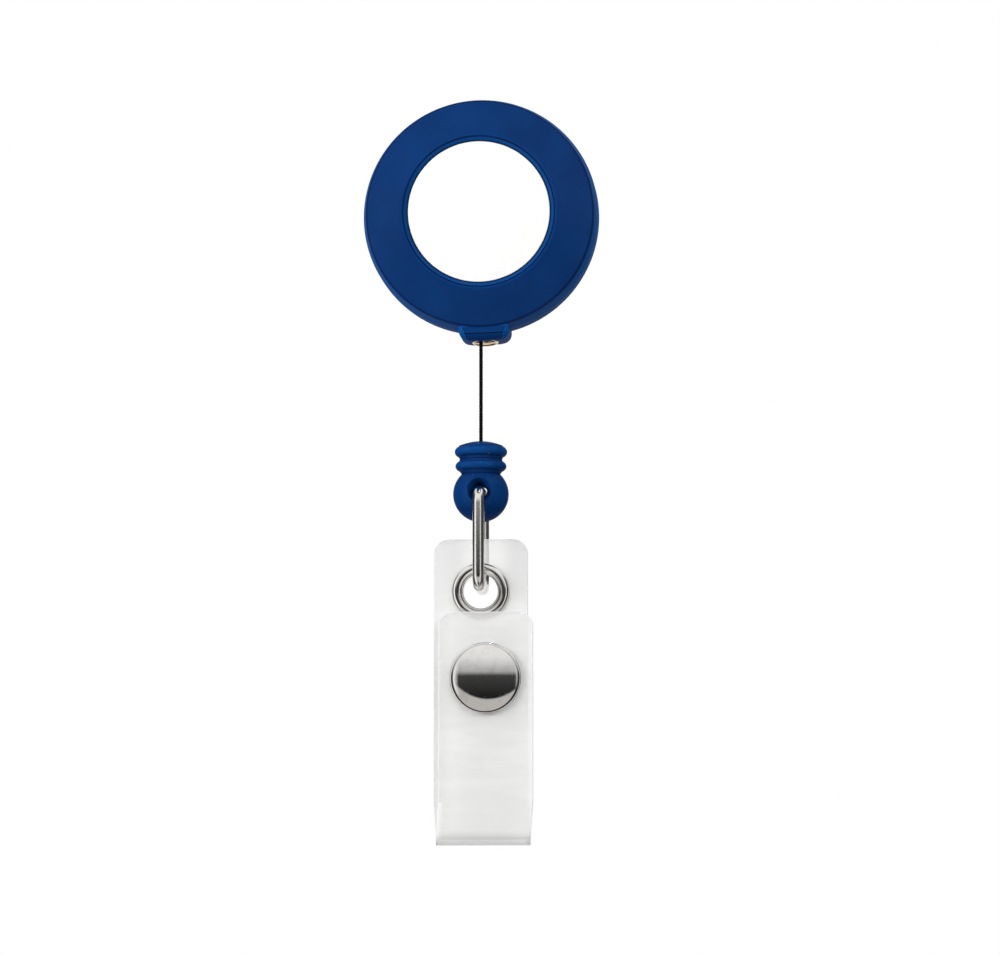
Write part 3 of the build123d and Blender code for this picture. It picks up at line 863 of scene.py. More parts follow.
# ---------------------------------------------------------------- reel housing
@dataclass
class Housing:
    """The reel's two shells with their nose, the label and the brass eyelet."""

    body: str = "housing"
    hang_turn: float = 2.0  # degrees that the nose hangs turned to the right
    wall: float = 1.3
    seam: float = 3.95  # depth of the parting line
    seam_air: float = 0.02
    face_inset: float = 0.6
    face_edge: float = 3.65  # from the seam to the front face's edge
    band: float = 1.2
    recess: float = 9.75
    nose_width: float = 6.9
    nose_reach: float = 17.25
    nose_round: float = 1.4
    nose_back: float = 1.6
    nose_front: float = 7.35
    panel_top: float = 15.3
    panel_foot: float = 16.30
    lip_drop: float = 0.95  # how far the lip leans back below the nose's panel
    eyelet_lean: float = 7.0  # degrees that the eyelet's flange faces the front
    hole: float = 1.25
    floor: float = 1.2
    lip: tuple[float, float] = (13.9, 14.65)  # radii of the rear shell's lip, which stands 1 mm high
    post: tuple[float, float] = (1.75, 2.6)  # radii of the spring's post
    rivet_hole: float = 1.05
    cord_depth: float = 4.75
    eyelet_bore: float = 0.85
    eyelet_flange: float = 1.8
    eyelet_foot: float = 17.42

    def __post_init__(self) -> None:
        """Reads the housing's places from the frame."""
        front, rear = Extent("front_cover"), Extent("rear_cover")
        self.radius = front.size.x / 2
        self.crest = -front.low.y
        self.back = -rear.high.y
        self.post_tip = -rear.low.y
        self.label = Extent("label_disc")
        self.axis = facing(Vector())

    def down(self) -> Vector:
        """The direction that the nose points in."""
        turn = radians(self.hang_turn)
        return Vector((sin(turn), 0, -cos(turn)))

    def nose_point(self, across: float, depth: float, reach: float) -> Vector:
        """A point of the nose.

        Args:
            across: its distance to the right of the nose's middle plane.
            depth: its distance in front of the clip plate.
            reach: its distance down from the reel's axis.

        Returns:
            The point.
        """
        turn = radians(self.hang_turn)
        return Vector((cos(turn), 0, sin(turn))) * across + Vector((0, -depth, 0)) + self.down() * reach

    def nose_outline(self, reach: float) -> list[Point]:
        """The nose's section at a distance from the reel's axis.

        Args:
            reach: the distance down from the reel's axis.

        Returns:
            (across, depth) points round the section.
        """
        start = self.nose_reach - self.nose_round
        low = max(0.0, reach - start)
        half = self.nose_width / 2 - (self.nose_round - sqrt(max(0.0, self.nose_round**2 - low**2)))
        lean = max(0.0, reach - self.panel_foot) / (self.nose_reach - self.panel_foot)
        groove = 0.10 if 0.0 < lean < 0.09 else 0.0
        front = self.nose_front - self.lip_drop * lean**1.7 - groove
        back = self.nose_back + 0.25 * lean**3
        share = max(0.0, min(1.0, (reach - self.panel_top) / (self.panel_foot - self.panel_top)))
        facet = 0.34 + 0.40 * share if lean == 0.0 else 0.74 - 0.30 * lean
        corners = [
            (0.0, back, 0.0),
            (half, back, 0.25),
            (half, front - 0.8 * facet, 0.08),
            (half - facet, front, 0.05),
            (-half + facet, front, 0.05),
            (-half, front - 0.8 * facet, 0.08),
            (-half, back, 0.25),
            (0.0, back, 0.0),
        ]
        return rounded(corners, 3)[:-1]

    def nose(self) -> bmesh.types.BMesh:
        """The nose with its bore, before it is split at the seam."""
        last = self.nose_reach - self.panel_foot
        reaches = [13.6, 14.6, self.panel_top, 15.6, 15.85, 16.0, 16.15, self.panel_foot]
        reaches += [self.panel_foot + 0.03, self.panel_foot + 0.08, self.panel_foot + 0.11]
        reaches += [self.nose_reach - last * cos(radians(90 * step / 12)) for step in range(6, 13)]
        rings = [
            [self.nose_point(x, depth, reach) for x, depth in self.nose_outline(reach)] for reach in reaches
        ]
        foot = self.nose_outline(self.nose_reach)
        angles = [atan2(depth - self.cord_depth, x) for x, depth in foot]
        for reach in (self.nose_reach, 14.6):
            rings.append(
                [
                    self.nose_point(self.hole * cos(a), self.cord_depth + self.hole * sin(a), reach)
                    for a in angles
                ]
            )
        return lofted(rings)

    def nose_half(self, front: bool) -> bmesh.types.BMesh:
        """The nose's part in front of the seam, or the part behind it."""
        mesh = self.nose()
        bmesh.ops.recalc_face_normals(mesh, faces=mesh.faces)
        side = -1.0 if front else 1.0
        shape = [*mesh.verts, *mesh.edges, *mesh.faces]
        level = Vector((0, -self.seam + side * self.seam_air, 0))
        made = bmesh.ops.bisect_plane(
            mesh, geom=shape, plane_co=level, plane_no=(0, -side, 0), clear_outer=True
        )
        rim = [part for part in made["geom_cut"] if isinstance(part, bmesh.types.BMEdge)]
        bmesh.ops.triangle_fill(mesh, use_beauty=True, edges=rim)
        return mesh

    def front_shell(self) -> bpy.types.Object:
        """The front shell: side band, sloping face, beaded bezel and label recess."""
        floor = -self.label.high.y
        crest = self.crest
        edge = self.seam + self.face_edge
        seam = self.seam + self.seam_air
        inner = self.radius - self.wall
        profile = rounded(
            [
                (0, floor, 0),
                (self.recess, floor, 0.04),
                (self.recess + 0.05, crest - 0.36, 0.03),
                (self.recess + 0.42, crest - 0.10, 0.05),
                (self.recess + 0.48, crest - 0.11, 0.02),
                (self.recess + 0.52, crest - 0.22, 0.02),
                (self.recess + 0.57, crest - 0.08, 0.02),
                (self.recess + 0.72, crest, 0.08),
                (self.recess + 0.98, crest - 0.04, 0.25),
                (self.radius - self.face_inset - 0.12, edge + 0.03, 0.10),
                (self.radius - self.face_inset - 0.04, edge - 0.10, 0.04),
                (self.radius - self.face_inset + 0.06, edge - 0.06, 0.08),
                (self.radius, self.seam + self.band, 0.6),
                (self.radius, seam + 0.15, 0.05),
                (self.radius - 0.15, seam, 0.05),
                (inner, seam, 0),
                (inner, edge - self.wall, 0),
                (self.recess, floor - self.wall, 0),
                (0, floor - self.wall, 0),
            ]
        )
        mesh = merged([turned(profile, self.axis, segments=192), self.nose_half(front=True)])
        made = dress(as_object("front_shell", mesh, 24.0), SHELL, ["front_cover"])
        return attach(made, self.body)

    def rear_shell(self) -> bpy.types.Object:
        """The rear shell: rounded back, lip inside the seam and the spring's hollow post."""
        seam = self.seam - self.seam_air
        floor = self.back + self.floor
        bore, post = self.post
        inner, outer = self.lip
        profile = rounded(
            [
                (self.rivet_hole, self.back + 0.3, 0),
                (self.rivet_hole, self.back, 0.08),
                (self.radius, self.back, 1.5),
                (self.radius, seam - 0.15, 0.05),
                (self.radius - 0.15, seam, 0.05),
                (outer, seam, 0),
                (outer, seam + 1.0, 0.1),
                (inner, seam + 1.0, 0.1),
                (inner, floor, 0.2),
                (post, floor, 0),
                (post, self.post_tip, 0.1),
                (bore, self.post_tip, 0.1),
                (bore, floor, 0),
                (self.rivet_hole, floor, 0),
            ]
        )
        mesh = merged([turned(profile, self.axis, closed=True, segments=192), self.nose_half(front=False)])
        made = dress(as_object("rear_shell", mesh, 24.0), SHELL, ["rear_cover"])
        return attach(made, self.body)

    def label_face(self) -> bpy.types.Object:
        """The round label, faintly domed at its edge."""
        radius = self.label.size.x / 2
        back, front = -self.label.high.y, -self.label.low.y
        profile = rounded([(0, back, 0), (radius, back, 0.02), (radius, front, 0.05), (0, front, 0)])
        names = ("label_face", profile, self.axis, LABEL, "label_disc", self.body)
        return turned_piece(*names, crease=32.0, segments=192)

    def eyelet(self) -> bpy.types.Object:
        """The rolled brass eyelet in the nose's foot."""
        bore, flange = self.eyelet_bore, self.eyelet_flange
        foot, top = self.eyelet_foot, 13.72
        wall = bore + 0.35
        profile = [
            *arc((bore + 0.175, top + 0.175), (0.175, 0.175), 0, -180, 8),
            (bore, foot - 0.62),
            *arc((bore + 0.30, foot - 0.50), (0.30, 0.26), 160, 80, 8),
            (flange - 0.34, foot - 0.12),
            *arc((flange - 0.15, foot - 0.15), (0.15, 0.15), 135, -90, 10),
            (wall, foot - 0.30),
        ]
        turn = Matrix.Rotation(radians(180) - radians(self.hang_turn), 4, "Y")
        pivot = Matrix.Translation((0, 0, foot))
        lean = pivot @ Matrix.Rotation(radians(self.eyelet_lean), 4, "X") @ pivot.inverted()
        place = Matrix.Translation(self.nose_point(0, self.cord_depth, 0)) @ turn @ lean
        names = ("brass_eyelet", profile, place, BRASS, "cord_eyelet", self.body)
        return turned_piece(*names, crease=40.0, closed=True, segments=96)

    def build(self) -> None:
        """Makes the housing's pieces."""
        self.front_shell()
        self.rear_shell()
        self.label_face()
        self.eyelet()


# ---------------------------------------------------------------- cord, cord stop and loop
@dataclass
class Cord:
    """The braided cord, from the winding through the eyelet to the knot in the cord stop."""

    radius: float = 0.25
    strands: int = 8
    pitch: float = 1.6
    edge: float = 13.1  # where the cord leaves the nose's inner lip

    def __post_init__(self) -> None:
        """Reads the cord's ends from the frame."""
        self.run = Extent("cord")
        self.foot = Extent("stop_knot").high.z

    def route(self) -> bpy.types.Object:
        """The cord's middle line as a smooth curve."""
        y = self.run.middle.y
        points = [
            (self.run.low.x + 0.2, self.run.high.z - 0.2),
            (-0.55, -self.edge + 0.2),
            (0.0, -self.edge - 0.2),
            (0.0, -self.edge - 1.2),
            (0.0, (self.foot - self.edge) / 2),
            (0.0, self.foot),
        ]
        data = bpy.data.curves.new("cord_route", "CURVE")
        data.dimensions = "3D"
        data.resolution_u = 48
        line = data.splines.new("NURBS")
        line.points.add(len(points) - 1)
        for spot, (x, z) in zip(line.points, points):
            spot.co = (x * MM, y * MM, z * MM, 1.0)
        line.use_endpoint_u = True
        line.order_u = 3
        made = bpy.data.objects.new("braided_cord", data)
        bpy.context.scene.collection.objects.link(made)
        return made

    def braid_tree(self) -> tuple[bpy.types.NodeTree, dict[str, str]]:
        """The nodes that lay strands over and under each other along a line.

        Returns:
            The tree, and the identifiers of its inputs by name.
        """
        tree = bpy.data.node_groups.new("braid", "GeometryNodeTree")
        face = tree.interface
        kinds = {"Strands": "NodeSocketInt", "Radius": "NodeSocketFloat", "Pitch": "NodeSocketFloat"}
        face.new_socket("Line", in_out="INPUT", socket_type="NodeSocketGeometry")
        sockets = {
            name: face.new_socket(name, in_out="INPUT", socket_type=kind) for name, kind in kinds.items()
        }
        face.new_socket("Cord", in_out="OUTPUT", socket_type="NodeSocketGeometry")
        graph = Graph(tree)
        given = graph.node("NodeGroupInput").socket.node
        line = Wire(graph, given.outputs["Line"])
        strands, radius, pitch = (Wire(graph, given.outputs[name]) for name in kinds)
        steps = {"Curve": line, "Length": pitch / 18}
        fine = graph.node("GeometryNodeResampleCurve", {"mode": "LENGTH"}, steps)
        copies = graph.node(
            "GeometryNodeDuplicateElements", {"domain": "SPLINE"}, {"Geometry": fine, "Amount": strands}
        )
        order = Wire(graph, copies.socket.node.outputs["Duplicate Index"])
        kept = graph.node(
            "GeometryNodeCaptureAttribute", values={"Geometry": copies}
        ).socket.node
        kept.capture_items.new("INT", "order")
        kept.domain = "CURVE"
        tree.links.new(order.socket, kept.inputs["order"])
        number = Wire(graph, kept.outputs["order"])
        along = graph.node("GeometryNodeSplineParameter", out="Length")
        normal = graph.node("GeometryNodeInputNormal")
        tangent = graph.node("GeometryNodeInputTangent")
        side = graph.vector("CROSS_PRODUCT", tangent, normal)
        handed = number.math("MODULO", 2.0) * 2.0 - 1.0
        turn = tau * along / pitch
        angle = handed * turn + number * tau / strands
        weave = (turn * (0.5 * self.strands) + number * pi).math("SINE")
        reach = radius * (0.66 + 0.07 * weave * handed)
        east = graph.vector("SCALE", normal, reach * angle.math("COSINE"))
        north = graph.vector("SCALE", side, reach * angle.math("SINE"))
        offset = graph.vector("ADD", east, north)
        spread = {"Geometry": Wire(graph, kept.outputs["Geometry"]), "Offset": offset}
        laid = graph.node("GeometryNodeSetPosition", values=spread)
        thread = graph.node(
            "GeometryNodeCurvePrimitiveCircle", {"mode": "RADIUS"}, {"Resolution": 6, "Radius": radius * 0.35}
        )
        skin = graph.node(
            "GeometryNodeCurveToMesh", values={"Curve": laid, "Profile Curve": thread, "Fill Caps": True}
        )
        middle = {"Resolution": 10, "Radius": radius * 0.85}
        core = graph.node("GeometryNodeCurvePrimitiveCircle", {"mode": "RADIUS"}, middle)
        heart = graph.node(
            "GeometryNodeCurveToMesh", values={"Curve": fine, "Profile Curve": core, "Fill Caps": True}
        )
        both = graph.node("GeometryNodeJoinGeometry", values={0: skin})
        tree.links.new(heart.socket, both.socket.node.inputs[0])
        real = graph.node("GeometryNodeRealizeInstances", values={0: both})
        dressed = graph.node(
            "GeometryNodeSetMaterial", values={"Geometry": real, "Material": YARN.material()}
        )
        graph.node("NodeGroupOutput", values={"Cord": dressed})
        return tree, {name: socket.identifier for name, socket in sockets.items()}

    def build(self) -> None:
        """Makes the cord's mesh and stretches it between the reel and the cord's end."""
        made = self.route()
        tree, names = self.braid_tree()
        step = made.modifiers.new("braid", "NODES")
        step.node_group = tree
        step[names["Strands"]] = self.strands
        step[names["Radius"]] = self.radius * MM
        step[names["Pitch"]] = self.pitch * MM
        made = settled(made)
        made.data.polygons.foreach_set("use_smooth", [True] * len(made.data.polygons))
        dress(made, YARN, ["cord"])
        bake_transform(made)


@dataclass
class CordStop:
    """The ribbed bead with its countersunk cross hole."""

    rib: float = 3.55
    rib_middle: float = 1.46
    neck: float = 2.87
    neck_middle: float = 2.5
    low_rib: float = 3.45
    low_rib_middle: float = 3.45
    waist_middle: float = 4.5
    ball: float = 3.76
    ball_middle: float = 7.2
    hole_middle: float = 6.8
    hole: float = 1.15
    sink: float = 2.15
    sink_depth: float = 1.2
    waist: float = 0.90
    bore: float = 0.35
    chamber: float = 1.15
    chamber_top: float = 4.8

    def __post_init__(self) -> None:
        """Reads the bead's place from the frame."""
        box = Extent("cord_stop")
        self.top = Vector((0, Extent("strap_link").middle.y, box.high.z))

    def profile(self) -> list[Point]:
        """(radius, height) points from the bore's rim over both ribs and round the ball."""
        waist = sqrt(self.ball**2 - (self.ball_middle - self.waist_middle) ** 2)
        start = atan2(self.ball_middle - self.waist_middle, waist)
        crown = [(x, -0.62 * (x / 2.98) ** 2) for x in (self.bore + 0.15 + 0.2 * step for step in range(13))]
        first = arc((self.rib - 1.0, -self.rib_middle + 0.02), (1.0, 0.80), 64, -64, 20)
        second = arc((self.low_rib - 0.92, -self.low_rib_middle + 0.05), (0.92, 0.74), 64, -64, 20)
        neck = [(self.neck + 0.03, -self.neck_middle + 0.12), (self.neck, -self.neck_middle)]
        collar = [(waist + 0.08, -self.waist_middle + 0.16), (waist, -self.waist_middle)]
        under = (self.neck + 0.04, -self.neck_middle - 0.1)
        ribs = [*crown, (2.98, -0.62), *first, *neck, under, *second, *collar]
        middle = (0.0, -self.ball_middle)
        round_part = [
            (middle[0] + self.ball * cos(a), middle[1] + self.ball * sin(a))
            for a in (start - (start + pi / 2) * step / 44 for step in range(1, 45))
        ]
        round_part[-1] = (0.0, middle[1] - self.ball)
        return [(0, 0), *ribs, *round_part]

    def cross_tool(self) -> bmesh.types.BMesh:
        """The cross hole with both countersinks, narrower at its waist, where the wire rests."""
        far = self.ball + 0.1
        near = self.ball - self.sink_depth
        half = [
            (0.0, self.waist, self.waist - self.hole),
            (0.6 * near, self.waist + 0.03, self.waist - self.hole + 0.03),
            (near - 0.1, self.hole - 0.02, 0.0),
            (near, self.hole, 0.0),
            (far - 0.66, 1.56, 0.0),
            (far - 0.60, 1.62, 0.0),
            (far - 0.44, 1.70, 0.0),
            (far - 0.38, 1.76, 0.0),
            (far, self.sink - 0.05, 0.0),
            (far + 1.0, self.sink + 1.0, 0.0),
        ]
        sections = [(-y, radius, drop) for y, radius, drop in reversed(half[1:])] + half
        middle = self.top + Vector((0, 0, -self.hole_middle))
        rings = [
            [middle + Vector((r * cos(tau * n / 96), y, drop + r * sin(tau * n / 96))) for n in range(96)]
            for y, r, drop in sections
        ]
        return lofted(rings)

    def build(self) -> None:
        """Makes the bead and cuts its holes."""
        place = facing(self.top, Turned.UP)
        made = as_object("ribbed_bead", turned(self.profile(), place, segments=144), 24.0)
        bore = [
            (0, 1),
            (self.bore, 1),
            (self.bore, -self.chamber_top),
            (self.chamber, -self.chamber_top),
            (self.chamber, -self.hole_middle),
            (0, -self.hole_middle),
        ]
        made = cut(made, [self.cross_tool(), turned(bore, place, segments=48)], 24.0)
        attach(dress(made, BEAD, ["cord_stop"]), "bead")


@dataclass
class WireLoop:
    """The oblong loop of plated wire."""

    bend: float = 1.5
    bow: float = 0.16  # how far the legs' ends lie inside their middles
    rounds: int = 32

    def __post_init__(self) -> None:
        """Reads the loop's box from the frame."""
        self.box = Extent("strap_link")
        self.wire = self.box.size.x / 2

    def loop_tree(self) -> tuple[bpy.types.NodeTree, dict[str, str]]:
        """The nodes that bend a wire into an oblong.

        Returns:
            The tree, and the identifiers of its inputs by name.
        """
        tree = bpy.data.node_groups.new("bent_wire", "GeometryNodeTree")
        names = ["Depth", "Height", "Bend", "Wire", "Bow"]
        tree.interface.new_socket("Start", in_out="INPUT", socket_type="NodeSocketGeometry")
        sockets = {
            name: tree.interface.new_socket(name, in_out="INPUT", socket_type="NodeSocketFloat")
            for name in names
        }
        tree.interface.new_socket("Loop", in_out="OUTPUT", socket_type="NodeSocketGeometry")
        graph = Graph(tree)
        given = graph.node("NodeGroupInput").socket.node
        depth, height, bend, wire, bow = (Wire(graph, given.outputs[name]) for name in names)
        oblong = graph.node(
            "GeometryNodeCurvePrimitiveQuadrilateral",
            {"mode": "RECTANGLE"},
            {"Width": depth - 2 * wire, "Height": height - 2 * wire},
        )
        soft = graph.node(
            "GeometryNodeFilletCurve", {"mode": "POLY"}, {"Curve": oblong, "Count": 20, "Radius": bend}
        )
        circle = {"Resolution": self.rounds, "Radius": wire}
        section = graph.node("GeometryNodeCurvePrimitiveCircle", {"mode": "RADIUS"}, circle)
        even = graph.node("GeometryNodeResampleCurve", {"mode": "COUNT"}, {"Curve": soft, "Count": 260})
        across, along, _ = graph.split(graph.node("GeometryNodeInputPosition"))
        share = 2 * along / height
        pull = across.math("SIGN") * bow * share * share * -1.0
        inward = graph.node("ShaderNodeCombineXYZ", values={"X": pull})
        bowed = graph.node("GeometryNodeSetPosition", values={"Geometry": even, "Offset": inward})
        skin = graph.node("GeometryNodeCurveToMesh", values={"Curve": bowed, "Profile Curve": section})
        real = graph.node("GeometryNodeRealizeInstances", values={0: skin})
        dressed = graph.node(
            "GeometryNodeSetMaterial", values={"Geometry": real, "Material": WIRE_NICKEL.material()}
        )
        graph.node("NodeGroupOutput", values={"Loop": dressed})
        return tree, {name: socket.identifier for name, socket in sockets.items()}

    def build(self) -> None:
        """Makes the loop and stands it in the plane of the strap's middle."""
        data = bpy.data.meshes.new("start")
        made = bpy.data.objects.new("wire_loop", data)
        bpy.context.scene.collection.objects.link(made)
        tree, names = self.loop_tree()
        step = made.modifiers.new("bend", "NODES")
        step.node_group = tree
        sizes = (self.box.size.y, self.box.size.z, self.bend, self.wire, self.bow)
        for identifier, size in zip(names.values(), sizes):
            step[identifier] = size * MM
        made = settled(made)
        made.data.transform(Matrix.Rotation(radians(90), 4, "Y") @ Matrix.Rotation(radians(90), 4, "Z"))
        made.data.transform(Matrix.Translation(self.box.middle * MM))
        mesh = bmesh.new()
        mesh.from_mesh(made.data)
        bmesh.ops.recalc_face_normals(mesh, faces=mesh.faces)
        mesh.to_mesh(made.data)
        mesh.free()
        made.data.polygons.foreach_set("use_smooth", [True] * len(made.data.polygons))
        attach(dress(made, WIRE_NICKEL, ["strap_link"]), "loop")


# ---------------------------------------------------------------- strap
@dataclass
class Strap:
    """The folded vinyl strap and the rolled grommet in its rear leaf."""

    corner: float = 2.0
    edge_round: float = 0.10
    grommet_hole: float = 2.74
    columns: int = 18
    bow: float = 0.12  # how far the flap lifts off its straight line between press stud and fold

    def __post_init__(self) -> None:
        """Reads the leaves' places from the frame."""
        self.rear, self.flap, self.fold = Extent("strap_back"), Extent("strap_flap"), Extent("strap_fold")
        self.grommet_box = Extent("grommet")
        self.washer_box = Extent("grommet_washer")
        self.thickness = self.rear.size.y
        self.half_width = self.rear.size.x / 2
        self.shift = self.flap.middle.x
        self.fold_radius = (self.rear.middle.y - self.flap.middle.y) / 2

    def stations(self) -> list[float]:
        """Distances along the strap's middle line where it has a section."""
        corner = [self.corner * (1 - cos(radians(90 * step / 10))) for step in range(11)]
        rear = self.rear.size.z
        bend = pi * self.fold_radius
        whole = rear + bend + self.flap.size.z
        start = rear - 5.0
        steps = ceil((start - self.corner) / 0.8)
        run = [self.corner + (start - self.corner) * step / steps for step in range(1, steps)]
        steps = ceil((bend + 10.0) / 0.25)
        turn = [start + (bend + 10.0) * step / steps for step in range(steps + 1)]
        last = whole - self.corner
        steps = ceil((last - turn[-1]) / 0.8)
        rest = [turn[-1] + (last - turn[-1]) * step / steps for step in range(1, steps)]
        return [*corner, *run, *turn, *rest, *(whole - part for part in reversed(corner))]

    def middle_line(self, along: float) -> tuple[Vector, Vector]:
        """The strap's middle line.

        Args:
            along: the distance from the rear leaf's top.

        Returns:
            The point, and the direction from the strap's inner side to its outer side.
        """
        rear = self.rear.size.z
        bend = pi * self.fold_radius
        slant = self.shift * min(1.0, max(0.0, (along - rear + 4.0) / (bend + 8.0)))
        if along <= rear:
            return Vector((slant, self.rear.middle.y, self.rear.high.z - along)), Vector((0, 1, 0))
        if along >= rear + bend:
            climb = along - rear - bend
            share = min(1.0, climb / 16.0)
            lift = self.bow * sin(pi * share) ** 2
            point = Vector((slant, self.flap.middle.y - lift, self.flap.low.z + climb))
            return point, Vector((0, -1, 0))
        angle = (along - rear) / self.fold_radius
        out = Vector((0, cos(angle), -sin(angle)))
        middle = Vector((slant, self.fold.middle.y, self.rear.low.z))
        return middle + out * self.fold_radius, out

    def section(self, along: float, whole: float) -> Ring:
        """The strap's section, a flat bar with softened edges.

        Args:
            along: the distance from the rear leaf's top.
            whole: the strap's whole length.

        Returns:
            The section's points.
        """
        end = min(along, whole - along)
        left = max(0.0, self.corner - end)
        half = self.half_width - self.corner + sqrt(max(0.0, self.corner**2 - left**2))
        point, out = self.middle_line(along)
        deep = self.thickness / 2
        if end < self.edge_round:
            deep -= self.edge_round * (1 - sqrt(1 - (1 - end / self.edge_round) ** 2))
        soft = self.edge_round
        rim = half - soft - 0.06
        across = [rim * (-1 + 2 * step / self.columns) for step in range(self.columns + 1)]
        flat = [(x, deep) for x in (-half + soft, *across, half - soft)]
        right = arc((half - soft, deep - soft), (soft, soft), 67.5, 0, 3)
        lower_right = arc((half - soft, -deep + soft), (soft, soft), 0, -67.5, 3)
        back = [(x, -deep) for x, _ in reversed(flat)]
        lower_left = [(-x, y) for x, y in reversed(lower_right)]
        left_side = [(-x, y) for x, y in reversed(right)]
        outline = [*flat, *right, *lower_right, *back, *lower_left, *left_side]
        return [point + Vector((x, 0, 0)) + out * y for x, y in outline]

    def vinyl(self) -> bpy.types.Object:
        """The strap in one piece, with the grommet's hole."""
        stations = self.stations()
        mesh = lofted([self.section(along, stations[-1]) for along in stations])
        made = as_object("vinyl_strap", mesh, 50.0)
        middle = Vector((0, self.rear.middle.y, self.grommet_box.middle.z))
        tool = [(0, -1), (self.grommet_hole, -1), (self.grommet_hole, 1), (0, 1)]
        made = cut(made, [turned(tool, facing(middle), segments=64)], 50.0)
        self.mark_edges(made)
        dress(made, VINYL, ["strap_back", "strap_fold", "strap_flap"])
        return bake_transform(made)

    def mark_edges(self, made: bpy.types.Object) -> None:
        """Writes cut_edge, 1 on the strap's cut faces, for its finish to read and paint a highlight on."""
        values = []
        near = self.half_width - 0.13
        for vertex in made.data.vertices:
            x, y, z = vertex.co / MM
            shift = 0.0
            if y < self.rear.low.y - 0.05:
                shift = self.shift if y < self.flap.high.y + 0.05 else self.fold.middle.x
            side = abs(x - shift) > near
            top = self.flap.high.z if y < self.fold.middle.y else self.rear.high.z
            values.append(1.0 if side or z > top - 0.05 or self.on_corner(x - shift, z, top) else 0.0)
        attribute = made.data.attributes.new("cut_edge", "FLOAT", "POINT")
        attribute.data.foreach_set("value", values)

    def on_corner(self, x: float, z: float, top: float) -> bool:
        """Whether a point lies on the rim of a leaf's rounded corner."""
        dx, dz = abs(x) - self.half_width + self.corner, z - top + self.corner
        return dx > 0 and dz > 0 and hypot(dx, dz) > self.corner - 0.08

    def grommet(self) -> bpy.types.Object:
        """The grommet: a convex rolled flange in front and its curled end behind."""
        box = self.grommet_box
        outer = box.size.x / 2
        bore = 2.34
        wall = 0.35
        base = -self.rear.low.y
        front = -box.low.y
        back = -box.high.y
        washer_back = -self.washer_box.high.y
        rise = front - base
        profile = [
            *arc((bore + 0.28, front - 0.42), (0.28, 0.30), 180, 80, 8),
            (bore + 0.42, front - 0.16),
            *arc((outer - 0.72, base + 0.12), (0.72, rise - 0.12), 118, -8, 18),
            (outer - 0.10, base + 0.02),
            (bore + wall, base + 0.02),
            (bore + wall, washer_back - 0.05),
            (bore + 2 * wall, washer_back),
            *arc((bore + 1.1 * wall, washer_back), (0.9 * wall, washer_back - back), 0, -90, 8),
            *arc((bore + 0.2, back + 0.2), (0.2, 0.2), -90, -180, 6),
        ]
        place = facing(Vector((0, 0, box.middle.z)))
        return turned_piece("grommet_ring", profile, place, NICKEL, "grommet", "strap", closed=True)

    def washer(self) -> bpy.types.Object:
        """The washer that the grommet is rolled over."""
        profile = flat_ring(self.washer_box, self.grommet_hole, (0.08, 0.16, 0.1, 0.0))
        place = facing(Vector((0, 0, self.washer_box.middle.z)))
        names = ("grommet_back_ring", profile, place, NICKEL, "grommet_washer", "strap")
        return turned_piece(*names, closed=True)

    def build(self) -> None:
        """Makes the strap's pieces."""
        self.vinyl()
        self.grommet()
        self.washer()


